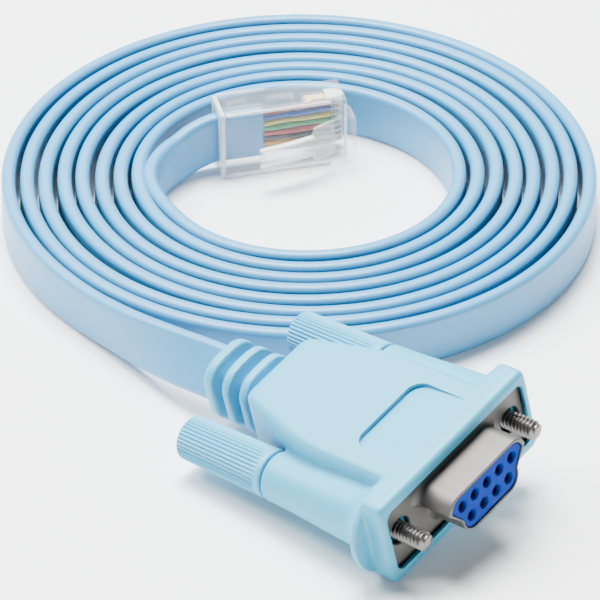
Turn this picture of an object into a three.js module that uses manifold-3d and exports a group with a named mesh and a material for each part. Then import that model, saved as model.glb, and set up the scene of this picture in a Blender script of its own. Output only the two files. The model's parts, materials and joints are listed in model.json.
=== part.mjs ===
// A console cable: a flat eight-way cable wound on edge into a flat coil, with a moulded
// nine-way D connector on its outer end and a clear modular plug on its inner end.
// Millimetres, +Z up, floor at Z = 0. The origin is the middle of the D connector's
// footprint on the floor, and the D connector mates along +X.
import * as THREE from 'three';
import { mergeVertices } from 'three/addons/utils/BufferGeometryUtils.js';
import Module from 'manifold-3d';

const wasm = await Module();
wasm.setup();

// Shared clearances
const GAP = 0.3; // between pieces that seat on or in each other
const CUT = 1; // how far a cutter runs past the face that it opens
const EDGE_BREAK = 0.3; // bevel on the turned plastic parts

// The flat cable
const CABLE_WIDTH = 8.4;
const CABLE_THICKNESS = 2.2;
const CABLE_EDGE = 0.99; // radius of its edges
const COIL_TURNS = 8;
const COIL_CENTRE = { x: -50.64, y: 47.65 };
const COIL_OUTER_RADIUS = 45; // mean outer face of the outermost turn
const COIL_BORE_RADIUS = 22.75; // mean inner face of the innermost turn
const TURN_GROOVE_DEPTH = 0.9; // the valley between two turns on the ends of the coil
const COIL_SEGMENTS = 48;

// How the D connector lies on the floor
const CONNECTOR_PITCH = THREE.MathUtils.degToRad(4.0); // mating face up
const CONNECTOR_ROLL = THREE.MathUtils.degToRad(11.7); // top towards -Y

// Steel front of the D connector, from the mating face of its plate at x = 0
const SCREW_SPACING = 24.99;
const SCREW_DIAMETER = 2.84;
const PLATE_HOLE_ROOM = 0.63; // round the screw
const PLATE_HOLE_DIAMETER = SCREW_DIAMETER + 2 * PLATE_HOLE_ROOM;
const PLATE_EAR = 0.86; // steel outside each screw hole
const PLATE_WIDTH = SCREW_SPACING + PLATE_HOLE_DIAMETER + 2 * PLATE_EAR;
const PLATE_HEIGHT = 12.55;
const PLATE_THICKNESS = 0.8;
const PLATE_CORNER = 1.2;
const SHELL_WIDTH = 16.33;
const SHELL_HEIGHT = 7.9;
const SHELL_CORNER = 2.6;
const SHELL_SIDE_ANGLE = THREE.MathUtils.degToRad(10);
const SHELL_WALL = 0.5;
const SHELL_REACH = 6.1;
const SHELL_FOOT = 0.45; // the small step where the shell rises from the plate

// Insulator and its socket contacts
const INSULATOR_SINK = 0.2; // its face lies this far inside the shell's edge
const INSULATOR_TAIL = { width: 18.4, height: 9.4, depth: 3.4, corner: 1.2 };
const CONTACT_PITCH = 2.77;
const ROW_SPACING = 2.84;
const TOP_ROW = 5;
const BOTTOM_ROW = 4;
const ENTRY_DIAMETER = 1.4;
const ENTRY_DEPTH = 1.1;
const ENTRY_CHAMFER = 0.25;
const CONTACT_DIAMETER = 1.5;
const CONTACT_BORE = 0.8;
const CONTACT_BORE_DEPTH = 4;
const CONTACT_INSET = 0.2; // its rear end, inside the rear of the insulator

// Moulded hood of the D connector
const HOOD_HEIGHT = 14.4;
const HOOD_REAR_X = -32.2;
const HOOD_REAR_WIDTH = 13.8;
const HOOD_BODY_WIDTH = 21.8;
const HOOD_SHOULDER_X = -18.2; // where the tapered sides end
const HOOD_EDGE = 1.1; // rounding of the long edges
const HOOD_CORNER = { rear: 1.2, shoulder: 1.5 };
const FLANGE_WALL = 1.045; // beside the plate
const FLANGE_WIDTH = PLATE_WIDTH + 2 * FLANGE_WALL;
const FLANGE_CORNER = 1.0;
const FLANGE_REAR_X = -3.3;
const RIM_X = 0.9; // front face of the rim round the plate
const RIM_LAP = { side: 0.305, top: 0.875 }; // how far the rim laps over the plate
const RIM_OPENING = { width: PLATE_WIDTH - 2 * RIM_LAP.side, height: PLATE_HEIGHT - 2 * RIM_LAP.top };
const FLANGE_EDGE = 0.6;
const BOSS_REAR_X = -22.7;
const BOSS_REAR_RADIUS = 3.7;
const BOSS_FRONT_RADIUS = 4.7;
const BOSS_FLARE_X = -7.5; // where the boss starts to flare into the flange
const BOSS_FLARE = { length: 2, rise: 0.7 }; // first, gentle part of the flare
const LABEL_RECESS = { rearX: -11.3, frontX: -2.2, width: 14.6, depth: 0.55, corner: 2.2 };

// Strain relief, moulded on the rear of the hood
const RELIEF_LENGTH = 10.4;
const RELIEF_WIDTH = 10.2;
const RELIEF_HEIGHT = 10.8;
const RELIEF_CORNER = 3.6;
const RELIEF_EDGE = 0.5;
const RELIEF_ROOT = 2; // how far it runs into the hood
const RELIEF_SLOTS = 3;
const RELIEF_FIRST_SLOT = 0.25; // behind the hood's rear face
const RELIEF_SLOT_WIDTH = 1.25;
const RELIEF_SLOT_PITCH = 3.25;
const RELIEF_SLOT_DEPTH = 1.5;
const RELIEF_SPINE = 1.7; // uncut height at the underside

// Thumbscrews
const SHANK_TIP_X = 5.0;
const SHANK_REAR_X = -33;
const SHANK_TIP_ROUND = 0.7;
const KNOB_REAR_X = -39;
const KNOB_FRONT_RADIUS = 3.65;
const KNOB_REAR_RADIUS = 3.3;
const KNOB_ROUND = 0.8;
const KNOB_CLEARANCE = 0.4; // round a knob, where the hood is scooped out beside it

// Modular plug, along its own +X from the cable end, latch side at y = 0, standing on z = 0
const PLUG_AT = { x: -66.47, y: 46.42 };
const PLUG_HEADING = THREE.MathUtils.degToRad(54.9);
const PLUG_LENGTH = 21.46;
const PLUG_BODY_LENGTH = 20.2;
const PLUG_WIDTH = 11.68;
const PLUG_DEPTH = 6.5;
const PLUG_CHAMFER = 0.7;
const PLUG_EDGE = 0.25;
const PLUG_CORNER = 0.4;
const JACKET_Y = 3.25; // middle of the cable's thickness in the plug
const JACKET_IN_PLUG = 7.2;
const WIRE_END_X = 18.4;
const WIRE_DIAMETER = 0.72;
const BLADE_COUNT = 8;
const BLADE_PITCH = 1.02;
const BLADE_THICKNESS = 0.36;
const BLADE_SLOT = 0.7;
const BLADE = { rearX: 14.6, frontX: 19.2, recess: 0.5 }; // its foot reaches the wires
const CLAMP_WINDOW = { rearX: 8.6, frontX: 12.9, width: 8.8, depth: 1.7 }; // over the cable clamp

// Latch of the plug
const LATCH_ROOT = { x: 18.1, standoff: 1.5, width: 6.0 }; // block that carries the latch
const LATCH_SHOULDER = { x: 14.2, standoff: 3.1 };
const LATCH_LEVER_WIDTH = 3.25;
const LATCH_FREE_END = { x: 5.0, standoff: 5.1 };
const LATCH_THICKNESS = 1.05;

const HOOD_COLOUR = 0xbfe3f0;
const CABLE_COLOUR = 0xa9cfea;
const WIRE_COLOURS = [0x9a9a98, 0xd98a2b, 0x1c1c1e, 0xb3262c, 0x2f8f4e, 0xd9c23a, 0x1f4fa3, 0x7a3a22];

const hoodPlastic = plastic(HOOD_COLOUR, 0.42);
const knobPlastic = plastic(0xc4e6f1, 0.45);
const jacketPlastic = plastic(CABLE_COLOUR, 0.4);
const insulatorPlastic = plastic(0x145ad2, 0.4);
const clearPlastic = new THREE.MeshStandardMaterial({
  color: 0xe6edf2,
  roughness: 0.08,
  metalness: 0,
  transparent: true,
  opacity: 0.4,
});
const plateSteel = metal(0x9a9894, 0.35);
const screwSteel = metal(0xb8b8b6, 0.3);
const gold = metal(0xd2a84a, 0.3);

function plastic(color, roughness) {
  return new THREE.MeshStandardMaterial({ color, roughness, metalness: 0 });
}

function metal(color, roughness) {
  return new THREE.MeshStandardMaterial({ color, roughness, metalness: 1 });
}

// Solids from three.js geometry, joined and cut as manifolds

function solidOf(geometry) {
  const bare = geometry.index ? geometry.toNonIndexed() : geometry.clone();
  bare.deleteAttribute('normal');
  bare.deleteAttribute('uv');
  const merged = mergeVertices(bare, 1e-4);
  const corners = Array.from(merged.index.array);
  const kept = [];
  for (let i = 0; i < corners.length; i += 3) {
    const [a, b, c] = corners.slice(i, i + 3);
    if (a !== b && b !== c && c !== a) kept.push(a, b, c);
  }
  const positions = merged.attributes.position;
  if (signedVolume(positions, kept) < 0) {
    for (let i = 0; i < kept.length; i += 3) [kept[i], kept[i + 1]] = [kept[i + 1], kept[i]];
  }
  return new wasm.Manifold(new wasm.Mesh({
    numProp: 3,
    vertProperties: new Float32Array(positions.array),
    triVerts: new Uint32Array(kept),
  }));
}

function signedVolume(positions, corners) {
  const [a, b, c] = [new THREE.Vector3(), new THREE.Vector3(), new THREE.Vector3()];
  let volume = 0;
  for (let i = 0; i < corners.length; i += 3) {
    a.fromBufferAttribute(positions, corners[i]);
    b.fromBufferAttribute(positions, corners[i + 1]);
    c.fromBufferAttribute(positions, corners[i + 2]);
    volume += a.dot(b.cross(c)) / 6;
  }
  return volume;
}

function geometryOf(solid) {
  const mesh = solid.getMesh();
  const geometry = new THREE.BufferGeometry();
  geometry.setAttribute('position', new THREE.BufferAttribute(new Float32Array(mesh.vertProperties), 3));
  geometry.setIndex(new THREE.BufferAttribute(new Uint32Array(mesh.triVerts), 1));
  geometry.computeVertexNormals();
  return geometry;
}

function named(name, solid, material) {
  const mesh = new THREE.Mesh(geometryOf(solid), material);
  mesh.name = name;
  return mesh;
}

function cut(solid, ...tools) {
  return tools.reduce((left, tool) => left.subtract(tool), solid);
}

function join(solid, ...others) {
  return others.reduce((whole, other) => whole.add(other), solid);
}

// A box from x0 to x1, y0 to y1 and z0 to z1
function boxSolid(x0, x1, y0, y1, z0, z1) {
  const box = new THREE.BoxGeometry(x1 - x0, y1 - y0, z1 - z0);
  box.translate((x0 + x1) / 2, (y0 + y1) / 2, (z0 + z1) / 2);
  return solidOf(box);
}

// A cylinder along X, between two stations
function rodSolid(x0, x1, radius, y = 0, z = 0, sides = 24) {
  return turnedSolid([[x0, 0], [x0, radius], [x1, radius], [x1, 0]], y, z, sides);
}

// A profile of [x, radius] points turned about a line along X
function turnedSolid(profile, y = 0, z = 0, sides = 32) {
  const geometry = new THREE.LatheGeometry(profile.map(([x, r]) => new THREE.Vector2(r, x)), sides);
  geometry.rotateZ(-Math.PI / 2);
  geometry.translate(0, y, z);
  return solidOf(geometry);
}

// An outline in Y and Z pushed along X from x0 to x1, with its end edges rounded by bevel
function alongX(outline, x0, x1, bevel = 0) {
  const geometry = new THREE.ExtrudeGeometry(outline, {
    depth: x1 - x0 - 2 * bevel,
    bevelEnabled: bevel > 0,
    bevelSize: bevel,
    bevelThickness: bevel,
    bevelOffset: -bevel,
    bevelSegments: 2,
    curveSegments: 4,
  });
  geometry.translate(0, 0, x0 + bevel);
  geometry.rotateY(Math.PI / 2);
  geometry.rotateX(Math.PI / 2);
  return solidOf(geometry);
}

// An outline in X and Y pushed along Z from z0 to z1, with its end edges rounded by bevel
function alongZ(outline, z0, z1, bevel = 0) {
  const geometry = new THREE.ExtrudeGeometry(outline, {
    depth: z1 - z0 - 2 * bevel,
    bevelEnabled: bevel > 0,
    bevelSize: bevel,
    bevelThickness: bevel,
    bevelOffset: -bevel,
    bevelSegments: 2,
    curveSegments: 3,
  });
  geometry.translate(0, 0, z0 + bevel);
  return solidOf(geometry);
}

// A closed outline through points, each corner rounded by its own radius
function roundedOutline(corners) {
  const shape = new THREE.Shape();
  corners.forEach(([x, y, radius], i) => {
    const here = new THREE.Vector2(x, y);
    const before = new THREE.Vector2(...corners.at(i - 1).slice(0, 2));
    const after = new THREE.Vector2(...corners[(i + 1) % corners.length].slice(0, 2));
    const inward = before.clone().sub(here).normalize();
    const outward = after.clone().sub(here).normalize();
    const half = Math.acos(THREE.MathUtils.clamp(inward.dot(outward), -1, 1)) / 2;
    const reach = radius / Math.tan(half);
    const start = here.clone().addScaledVector(inward, reach);
    const end = here.clone().addScaledVector(outward, reach);
    if (i === 0) shape.moveTo(start.x, start.y);
    else shape.lineTo(start.x, start.y);
    if (radius > 0) {
      const middle = inward.clone().add(outward).normalize();
      const centre = here.clone().addScaledVector(middle, radius / Math.sin(half));
      const from = start.clone().sub(centre).angle();
      const to = end.clone().sub(centre).angle();
      const clockwise = inward.cross(outward) > 0;
      shape.absarc(centre.x, centre.y, radius, from, to, clockwise);
    }
  });
  shape.closePath();
  return shape;
}

function roundedRectangle(width, height, radius, x = 0, y = 0) {
  const [w, h] = [width / 2, height / 2];
  return roundedOutline([
    [x - w, y - h, radius],
    [x + w, y - h, radius],
    [x + w, y + h, radius],
    [x - w, y + h, radius],
  ]);
}

// The D outline, wide side up, in Y and Z
function shellOutline(inset) {
  const h = SHELL_HEIGHT / 2 - inset;
  const slope = Math.tan(SHELL_SIDE_ANGLE);
  const top = SHELL_WIDTH / 2 - inset / Math.cos(SHELL_SIDE_ANGLE) - inset * slope;
  const bottom = top - 2 * h * slope;
  const corner = SHELL_CORNER - inset;
  return roundedOutline([
    [-bottom, -h, corner],
    [bottom, -h, corner],
    [top, h, corner],
    [-top, h, corner],
  ]);
}

// The places of the nine contacts, [y, z]; the wide row is on top, the first one at -Y
function contactPlaces() {
  const row = (count, z) => Array.from({ length: count }, (_, i) => [(i - (count - 1) / 2) * CONTACT_PITCH, z]);
  return [...row(TOP_ROW, ROW_SPACING / 2), ...row(BOTTOM_ROW, -ROW_SPACING / 2)];
}

const SCREW_PLACES = { near: -SCREW_SPACING / 2, far: SCREW_SPACING / 2 };
const INSULATOR_FACE_X = SHELL_REACH - INSULATOR_SINK;
const INSULATOR_REAR_X = -PLATE_THICKNESS - GAP - INSULATOR_TAIL.depth;
const SHANK_CLEAR = SCREW_DIAMETER / 2 + GAP;
const RELIEF_REAR_X = HOOD_REAR_X - RELIEF_LENGTH;
const PLUG_MIDDLE = PLUG_WIDTH / 2;

// The hood

function hoodBody() {
  const [rear, side] = [HOOD_REAR_WIDTH / 2, HOOD_BODY_WIDTH / 2];
  const outline = roundedOutline([
    [HOOD_REAR_X, -rear, HOOD_CORNER.rear],
    [HOOD_SHOULDER_X, -side, HOOD_CORNER.shoulder],
    [FLANGE_REAR_X + CUT, -side, 0],
    [FLANGE_REAR_X + CUT, side, 0],
    [HOOD_SHOULDER_X, side, HOOD_CORNER.shoulder],
    [HOOD_REAR_X, rear, HOOD_CORNER.rear],
  ]);
  return alongZ(outline, -HOOD_HEIGHT / 2, HOOD_HEIGHT / 2, HOOD_EDGE);
}

function hoodFlange() {
  const outline = roundedRectangle(FLANGE_WIDTH, HOOD_HEIGHT, FLANGE_CORNER);
  return alongX(outline, FLANGE_REAR_X, RIM_X, FLANGE_EDGE);
}

function hoodBoss(y) {
  const flareRadius = HOOD_HEIGHT / 2 - BOSS_FLARE.rise;
  const boss = turnedSolid([
    [BOSS_REAR_X, 0],
    [BOSS_REAR_X, BOSS_REAR_RADIUS - EDGE_BREAK],
    [BOSS_REAR_X + EDGE_BREAK, BOSS_REAR_RADIUS],
    [BOSS_FLARE_X, BOSS_FRONT_RADIUS],
    [BOSS_FLARE_X + BOSS_FLARE.length, BOSS_FRONT_RADIUS + BOSS_FLARE.rise],
    [FLANGE_REAR_X, flareRadius],
    [FLANGE_REAR_X + CUT, flareRadius],
    [FLANGE_REAR_X + CUT, 0],
  ], y, 0, 36);
  const side = FLANGE_WIDTH / 2 - EDGE_BREAK;
  return boss.intersect(boxSolid(BOSS_REAR_X - CUT, 0, -side, side, -HOOD_HEIGHT / 2, HOOD_HEIGHT / 2));
}

function strainRelief() {
  const outer = roundedRectangle(RELIEF_WIDTH, RELIEF_HEIGHT, RELIEF_CORNER);
  const core = roundedRectangle(
    RELIEF_WIDTH - 2 * RELIEF_SLOT_DEPTH,
    RELIEF_HEIGHT - 2 * RELIEF_SLOT_DEPTH,
    RELIEF_CORNER - RELIEF_SLOT_DEPTH,
  );
  let relief = alongX(outer, RELIEF_REAR_X, HOOD_REAR_X + RELIEF_ROOT, RELIEF_EDGE);
  for (let i = 0; i < RELIEF_SLOTS; i += 1) {
    const front = HOOD_REAR_X - RELIEF_FIRST_SLOT - i * RELIEF_SLOT_PITCH;
    const band = boxSolid(
      front - RELIEF_SLOT_WIDTH, front,
      -RELIEF_WIDTH, RELIEF_WIDTH,
      -RELIEF_HEIGHT / 2 + RELIEF_SPINE, RELIEF_HEIGHT,
    );
    relief = cut(relief, cut(band, alongX(core, front - RELIEF_SLOT_WIDTH - CUT, front + CUT)));
  }
  return relief;
}

function labelRecess() {
  const { rearX, frontX, width, depth, corner } = LABEL_RECESS;
  const length = frontX - rearX;
  const fade = Math.atan2(depth, length);
  const pad = new THREE.ExtrudeGeometry(roundedOutline([
    [0, -width / 2, corner],
    [length * 1.4, -width / 2, 0],
    [length * 1.4, width / 2, 0],
    [0, width / 2, corner],
  ]), { depth: 2 * depth, bevelEnabled: false, curveSegments: 5 });
  pad.rotateY(-fade);
  pad.translate(rearX, 0, HOOD_HEIGHT / 2 - depth);
  return solidOf(pad);
}

function hoodSolid() {
  const plateSeat = alongX(
    roundedRectangle(PLATE_WIDTH + 2 * GAP, PLATE_HEIGHT + 2 * GAP, PLATE_CORNER + GAP),
    -PLATE_THICKNESS - GAP, GAP,
  );
  const opening = alongX(
    roundedRectangle(RIM_OPENING.width, RIM_OPENING.height, PLATE_CORNER),
    0, RIM_X + CUT,
  );
  const tail = alongX(
    roundedRectangle(INSULATOR_TAIL.width + 2 * GAP, INSULATOR_TAIL.height + 2 * GAP, INSULATOR_TAIL.corner + GAP),
    INSULATOR_REAR_X - GAP, 0,
  );
  const bores = Object.values(SCREW_PLACES).map((y) => rodSolid(BOSS_REAR_X - CUT, 0, SHANK_CLEAR, y));
  const knobRoom = Object.values(SCREW_PLACES).map(
    (y) => rodSolid(KNOB_REAR_X, BOSS_REAR_X, KNOB_FRONT_RADIUS + KNOB_CLEARANCE, y),
  );
  const solid = join(
    hoodBody(),
    hoodFlange(),
    strainRelief(),
    ...Object.values(SCREW_PLACES).map(hoodBoss),
  );
  return cut(solid, plateSeat, opening, tail, labelRecess(), ...bores, ...knobRoom);
}

// The steel front: its plate and its D shell are one pressing

function shellSolid() {
  const plate = alongX(roundedRectangle(PLATE_WIDTH, PLATE_HEIGHT, PLATE_CORNER), -PLATE_THICKNESS, 0);
  const foot = alongX(shellOutline(-SHELL_FOOT), -PLATE_THICKNESS, SHELL_FOOT);
  const tube = alongX(shellOutline(0), -PLATE_THICKNESS, SHELL_REACH);
  const inside = alongX(shellOutline(SHELL_WALL), -PLATE_THICKNESS - CUT, SHELL_REACH + CUT);
  const holes = Object.values(SCREW_PLACES).map(
    (y) => rodSolid(-PLATE_THICKNESS - CUT, CUT, PLATE_HOLE_DIAMETER / 2, y),
  );
  return cut(join(plate, foot, tube), inside, ...holes);
}

function insulatorSolid() {
  const nose = alongX(shellOutline(SHELL_WALL + GAP), -PLATE_THICKNESS - GAP - 0.1, INSULATOR_FACE_X);
  const tail = alongX(
    roundedRectangle(INSULATOR_TAIL.width, INSULATOR_TAIL.height, INSULATOR_TAIL.corner),
    INSULATOR_REAR_X, -PLATE_THICKNESS - GAP,
  );
  const bores = contactPlaces().flatMap(([y, z]) => [
    rodSolid(INSULATOR_FACE_X - ENTRY_DEPTH - CUT, INSULATOR_FACE_X + CUT, ENTRY_DIAMETER / 2, y, z, 12),
    rodSolid(
      INSULATOR_REAR_X - CUT, INSULATOR_FACE_X - ENTRY_DEPTH,
      CONTACT_DIAMETER / 2 + GAP, y, z, 12,
    ),
    turnedSolid([
      [INSULATOR_FACE_X - ENTRY_CHAMFER, 0],
      [INSULATOR_FACE_X - ENTRY_CHAMFER, ENTRY_DIAMETER / 2],
      [INSULATOR_FACE_X + ENTRY_CHAMFER, ENTRY_DIAMETER / 2 + 2 * ENTRY_CHAMFER],
      [INSULATOR_FACE_X + ENTRY_CHAMFER, 0],
    ], y, z, 12),
  ]);
  return cut(join(nose, tail), ...bores);
}

function contactSolid([y, z]) {
  const front = INSULATOR_FACE_X - ENTRY_DEPTH - GAP;
  const tube = rodSolid(INSULATOR_REAR_X + CONTACT_INSET, front, CONTACT_DIAMETER / 2, y, z, 12);
  return cut(tube, rodSolid(front - CONTACT_BORE_DEPTH, front + CUT, CONTACT_BORE / 2, y, z, 12));
}

// Thumbscrews: a steel shank in a moulded knob

function shankSolid(y) {
  const r = SCREW_DIAMETER / 2;
  return turnedSolid([
    [SHANK_REAR_X, 0],
    [SHANK_REAR_X, r],
    [SHANK_TIP_X - SHANK_TIP_ROUND, r],
    [SHANK_TIP_X - SHANK_TIP_ROUND / 3, r * 0.72],
    [SHANK_TIP_X, r * 0.35],
    [SHANK_TIP_X, 0],
  ], y, 0, 20);
}

function knobSolid(y) {
  const front = BOSS_REAR_X - GAP;
  const knob = turnedSolid([
    [KNOB_REAR_X, 0],
    [KNOB_REAR_X, KNOB_REAR_RADIUS - KNOB_ROUND],
    [KNOB_REAR_X + KNOB_ROUND * 0.3, KNOB_REAR_RADIUS - KNOB_ROUND * 0.3],
    [KNOB_REAR_X + KNOB_ROUND, KNOB_REAR_RADIUS],
    [front - EDGE_BREAK, KNOB_FRONT_RADIUS],
    [front, KNOB_FRONT_RADIUS - EDGE_BREAK],
    [front, 0],
  ], y, 0, 36);
  return cut(knob, rodSolid(SHANK_REAR_X - GAP, front + CUT, SHANK_CLEAR, y));
}

// The coil, with the valleys between its turns on both of its ends

function coilSolid() {
  const pitch = (COIL_OUTER_RADIUS - COIL_BORE_RADIUS) / COIL_TURNS;
  const top = [];
  for (let i = 0; i < COIL_TURNS; i += 1) {
    const valley = COIL_BORE_RADIUS + i * pitch;
    top.push([valley, CABLE_WIDTH - TURN_GROOVE_DEPTH], [valley + pitch / 2, CABLE_WIDTH]);
  }
  top.push([COIL_OUTER_RADIUS, CABLE_WIDTH - TURN_GROOVE_DEPTH]);
  const bottom = top.map(([r, z]) => [r, CABLE_WIDTH - z]).reverse();
  const profile = [...top, ...bottom, top[0]].map(([r, z]) => new THREE.Vector2(r, z));
  const ring = new THREE.LatheGeometry(profile, COIL_SEGMENTS);
  ring.rotateX(Math.PI / 2);
  ring.translate(COIL_CENTRE.x, COIL_CENTRE.y, 0);
  return solidOf(ring);
}

// The stretches of cable that aren't coiled

// Middle of the cable from beside the coil's outermost turn to the strain relief
const TAIL_POINTS = [
  [-48.3, 1.22, 4.85],
  [-43.6, 0.55, 5.35],
  [-38.7, 0.1, 5.95],
  [-33.7, -0.15, 6.55],
  [-29.0, -0.1, 7.05],
  [-24.9, 0, 7.4],
];
const TAIL_LEAN = THREE.MathUtils.degToRad(32); // at the strain relief
// Middle of the cable from beside the coil's innermost turn, and on into the plug
const LEAD_POINTS = [
  [-71.14, 41.84, 4.45],
  [-70.99, 43.76, 4.85],
  [-70.52, 45.61, 5.25],
  [-69.91, 47.02, 5.6],
];

// The lead's last stretch is straight, in the plug's mouth
function leadPoints() {
  const along = new THREE.Vector2(Math.cos(PLUG_HEADING), Math.sin(PLUG_HEADING));
  const across = new THREE.Vector2(-along.y, along.x);
  const inPlug = (x) => {
    const place = new THREE.Vector2(PLUG_AT.x, PLUG_AT.y);
    place.addScaledVector(along, x).addScaledVector(across, JACKET_Y);
    return [place.x, place.y, PLUG_MIDDLE];
  };
  return [...LEAD_POINTS, ...[-0.6, 1.5, 4.4, JACKET_IN_PLUG].map(inPlug)];
}

function cableSection() {
  const edge = Math.min(CABLE_EDGE, 0.45 * CABLE_THICKNESS);
  return roundedRectangle(CABLE_WIDTH, CABLE_THICKNESS, edge);
}

// A path that carries the cable on edge. Its top leans to the left of the way the path
// runs, by an angle that grows evenly from nothing to the given one.
class EdgewisePath extends THREE.CatmullRomCurve3 {
  constructor(points, lean) {
    super(points.map((p) => new THREE.Vector3(...p)));
    this.lean = lean;
  }

  computeFrenetFrames(steps) {
    const frames = { tangents: [], normals: [], binormals: [] };
    for (let i = 0; i <= steps; i += 1) {
      const share = i / steps;
      const tangent = this.getTangentAt(share);
      const side = new THREE.Vector3(0, 0, 1).cross(tangent).normalize();
      const up = tangent.clone().cross(side).applyAxisAngle(tangent, -this.lean * share);
      frames.tangents.push(tangent);
      frames.normals.push(up);
      frames.binormals.push(tangent.clone().cross(up));
    }
    return frames;
  }
}

function cableStretch(points, steps, lean = 0) {
  return solidOf(new THREE.ExtrudeGeometry(cableSection(), {
    steps,
    curveSegments: 2,
    extrudePath: new EdgewisePath(points, lean),
  }));
}

// The modular plug

function wirePlaces() {
  return Array.from({ length: BLADE_COUNT }, (_, i) => PLUG_MIDDLE + (i - (BLADE_COUNT - 1) / 2) * BLADE_PITCH);
}

function bladeFootY() {
  return JACKET_Y + WIRE_DIAMETER / 2 + GAP;
}

function plugSolid() {
  const outline = roundedOutline([
    [0, 0, PLUG_CORNER],
    [PLUG_BODY_LENGTH, 0, PLUG_CORNER],
    [PLUG_BODY_LENGTH, PLUG_DEPTH, PLUG_CHAMFER],
    [0, PLUG_DEPTH, PLUG_CORNER],
  ]);
  const body = alongZ(outline, 0, PLUG_WIDTH, PLUG_EDGE);
  const rootBlock = boxSolid(
    LATCH_ROOT.x, PLUG_LENGTH,
    -LATCH_ROOT.standoff, PLUG_DEPTH / 2,
    PLUG_MIDDLE - LATCH_ROOT.width / 2, PLUG_MIDDLE + LATCH_ROOT.width / 2,
  );
  const jacket = boxSolid(
    -CUT, JACKET_IN_PLUG + GAP,
    JACKET_Y - CABLE_THICKNESS / 2 - GAP, JACKET_Y + CABLE_THICKNESS / 2 + GAP,
    PLUG_MIDDLE - CABLE_WIDTH / 2 - GAP, PLUG_MIDDLE + CABLE_WIDTH / 2 + GAP,
  );
  const wireSide = WIRE_DIAMETER / 2 + GAP;
  const wireHalf = (BLADE_COUNT - 1) / 2 * BLADE_PITCH + wireSide;
  const channel = boxSolid(
    JACKET_IN_PLUG, WIRE_END_X + GAP,
    JACKET_Y - wireSide, JACKET_Y + wireSide,
    PLUG_MIDDLE - wireHalf, PLUG_MIDDLE + wireHalf,
  );
  const slots = wirePlaces().map((z) => boxSolid(
    BLADE.rearX - GAP, PLUG_BODY_LENGTH + CUT,
    bladeFootY() - GAP, PLUG_DEPTH + CUT,
    z - BLADE_SLOT / 2, z + BLADE_SLOT / 2,
  ));
  const window = boxSolid(
    CLAMP_WINDOW.rearX, CLAMP_WINDOW.frontX,
    PLUG_DEPTH - CLAMP_WINDOW.depth, PLUG_DEPTH + CUT,
    PLUG_MIDDLE - CLAMP_WINDOW.width / 2, PLUG_MIDDLE + CLAMP_WINDOW.width / 2,
  );
  return cut(join(body, rootBlock), jacket, channel, window, ...slots);
}

// The latch between two stations, its outer face standing off the plug as its side view says
function latchBand(stations, width) {
  const outer = stations.map(({ x, standoff }) => new THREE.Vector2(x, -standoff));
  const inner = outer.map(({ x, y }) => new THREE.Vector2(x, y + LATCH_THICKNESS)).reverse();
  return alongZ(new THREE.Shape([...outer, ...inner]), PLUG_MIDDLE - width / 2, PLUG_MIDDLE + width / 2);
}

function latchSolid() {
  const root = { x: LATCH_ROOT.x - GAP, standoff: LATCH_ROOT.standoff };
  return join(
    latchBand([root, LATCH_SHOULDER], LATCH_ROOT.width),
    latchBand([root, LATCH_SHOULDER, LATCH_FREE_END], LATCH_LEVER_WIDTH),
  );
}

function bladeSolid(z) {
  return boxSolid(
    BLADE.rearX, BLADE.frontX,
    bladeFootY(), PLUG_DEPTH - BLADE.recess,
    z - BLADE_THICKNESS / 2, z + BLADE_THICKNESS / 2,
  );
}

function wireSolid(z) {
  return rodSolid(JACKET_IN_PLUG + GAP, WIRE_END_X, WIRE_DIAMETER / 2, JACKET_Y, z, 10);
}

// Assembly

const connector = new THREE.Group();
connector.add(
  named('connector_hood', hoodSolid(), hoodPlastic),
  named('connector_shell', shellSolid(), plateSteel),
  named('connector_insulator', insulatorSolid(), insulatorPlastic),
  ...contactPlaces().map((place, i) => named(`socket_contact_${i + 1}`, contactSolid(place), gold)),
);
for (const [side, y] of Object.entries(SCREW_PLACES)) {
  connector.add(
    named(`thumbscrew_knob_${side}`, knobSolid(y), knobPlastic),
    named(`thumbscrew_shank_${side}`, shankSolid(y), screwSteel),
  );
}
connector.rotation.set(CONNECTOR_ROLL, -CONNECTOR_PITCH, 0, 'YXZ');
connector.updateMatrixWorld(true);
const footprint = new THREE.Box3().setFromObject(connector, true);
const middle = footprint.getCenter(new THREE.Vector3());
connector.position.set(-middle.x, -middle.y, -footprint.min.z);

const plug = new THREE.Group();
plug.add(
  named('plug_body', plugSolid(), clearPlastic),
  named('plug_latch', latchSolid(), clearPlastic),
  ...wirePlaces().map((z, i) => named(`plug_contact_${i + 1}`, bladeSolid(z), gold)),
  ...wirePlaces().map((z, i) => named(`wire_${i + 1}`, wireSolid(z), plastic(WIRE_COLOURS[i], 0.45))),
);
plug.rotation.z = PLUG_HEADING;
plug.position.set(PLUG_AT.x, PLUG_AT.y, 0);

const cable = new THREE.Group();
cable.add(
  named('cable_coil', coilSolid(), jacketPlastic),
  named('cable_tail', cableStretch(TAIL_POINTS, 10, TAIL_LEAN), jacketPlastic),
  named('cable_lead', cableStretch(leadPoints(), 12), jacketPlastic),
);

const consoleCable = new THREE.Group();
consoleCable.add(connector, plug, cable);

export default consoleCable;
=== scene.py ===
"""A flat console cable, coiled on edge, with a moulded D connector and a clear modular plug."""

import json
import math

import bmesh
import bpy
import numpy as np
from bpy.props import FloatProperty, FloatVectorProperty, IntProperty, PointerProperty
from mathutils import Matrix, Vector


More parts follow.
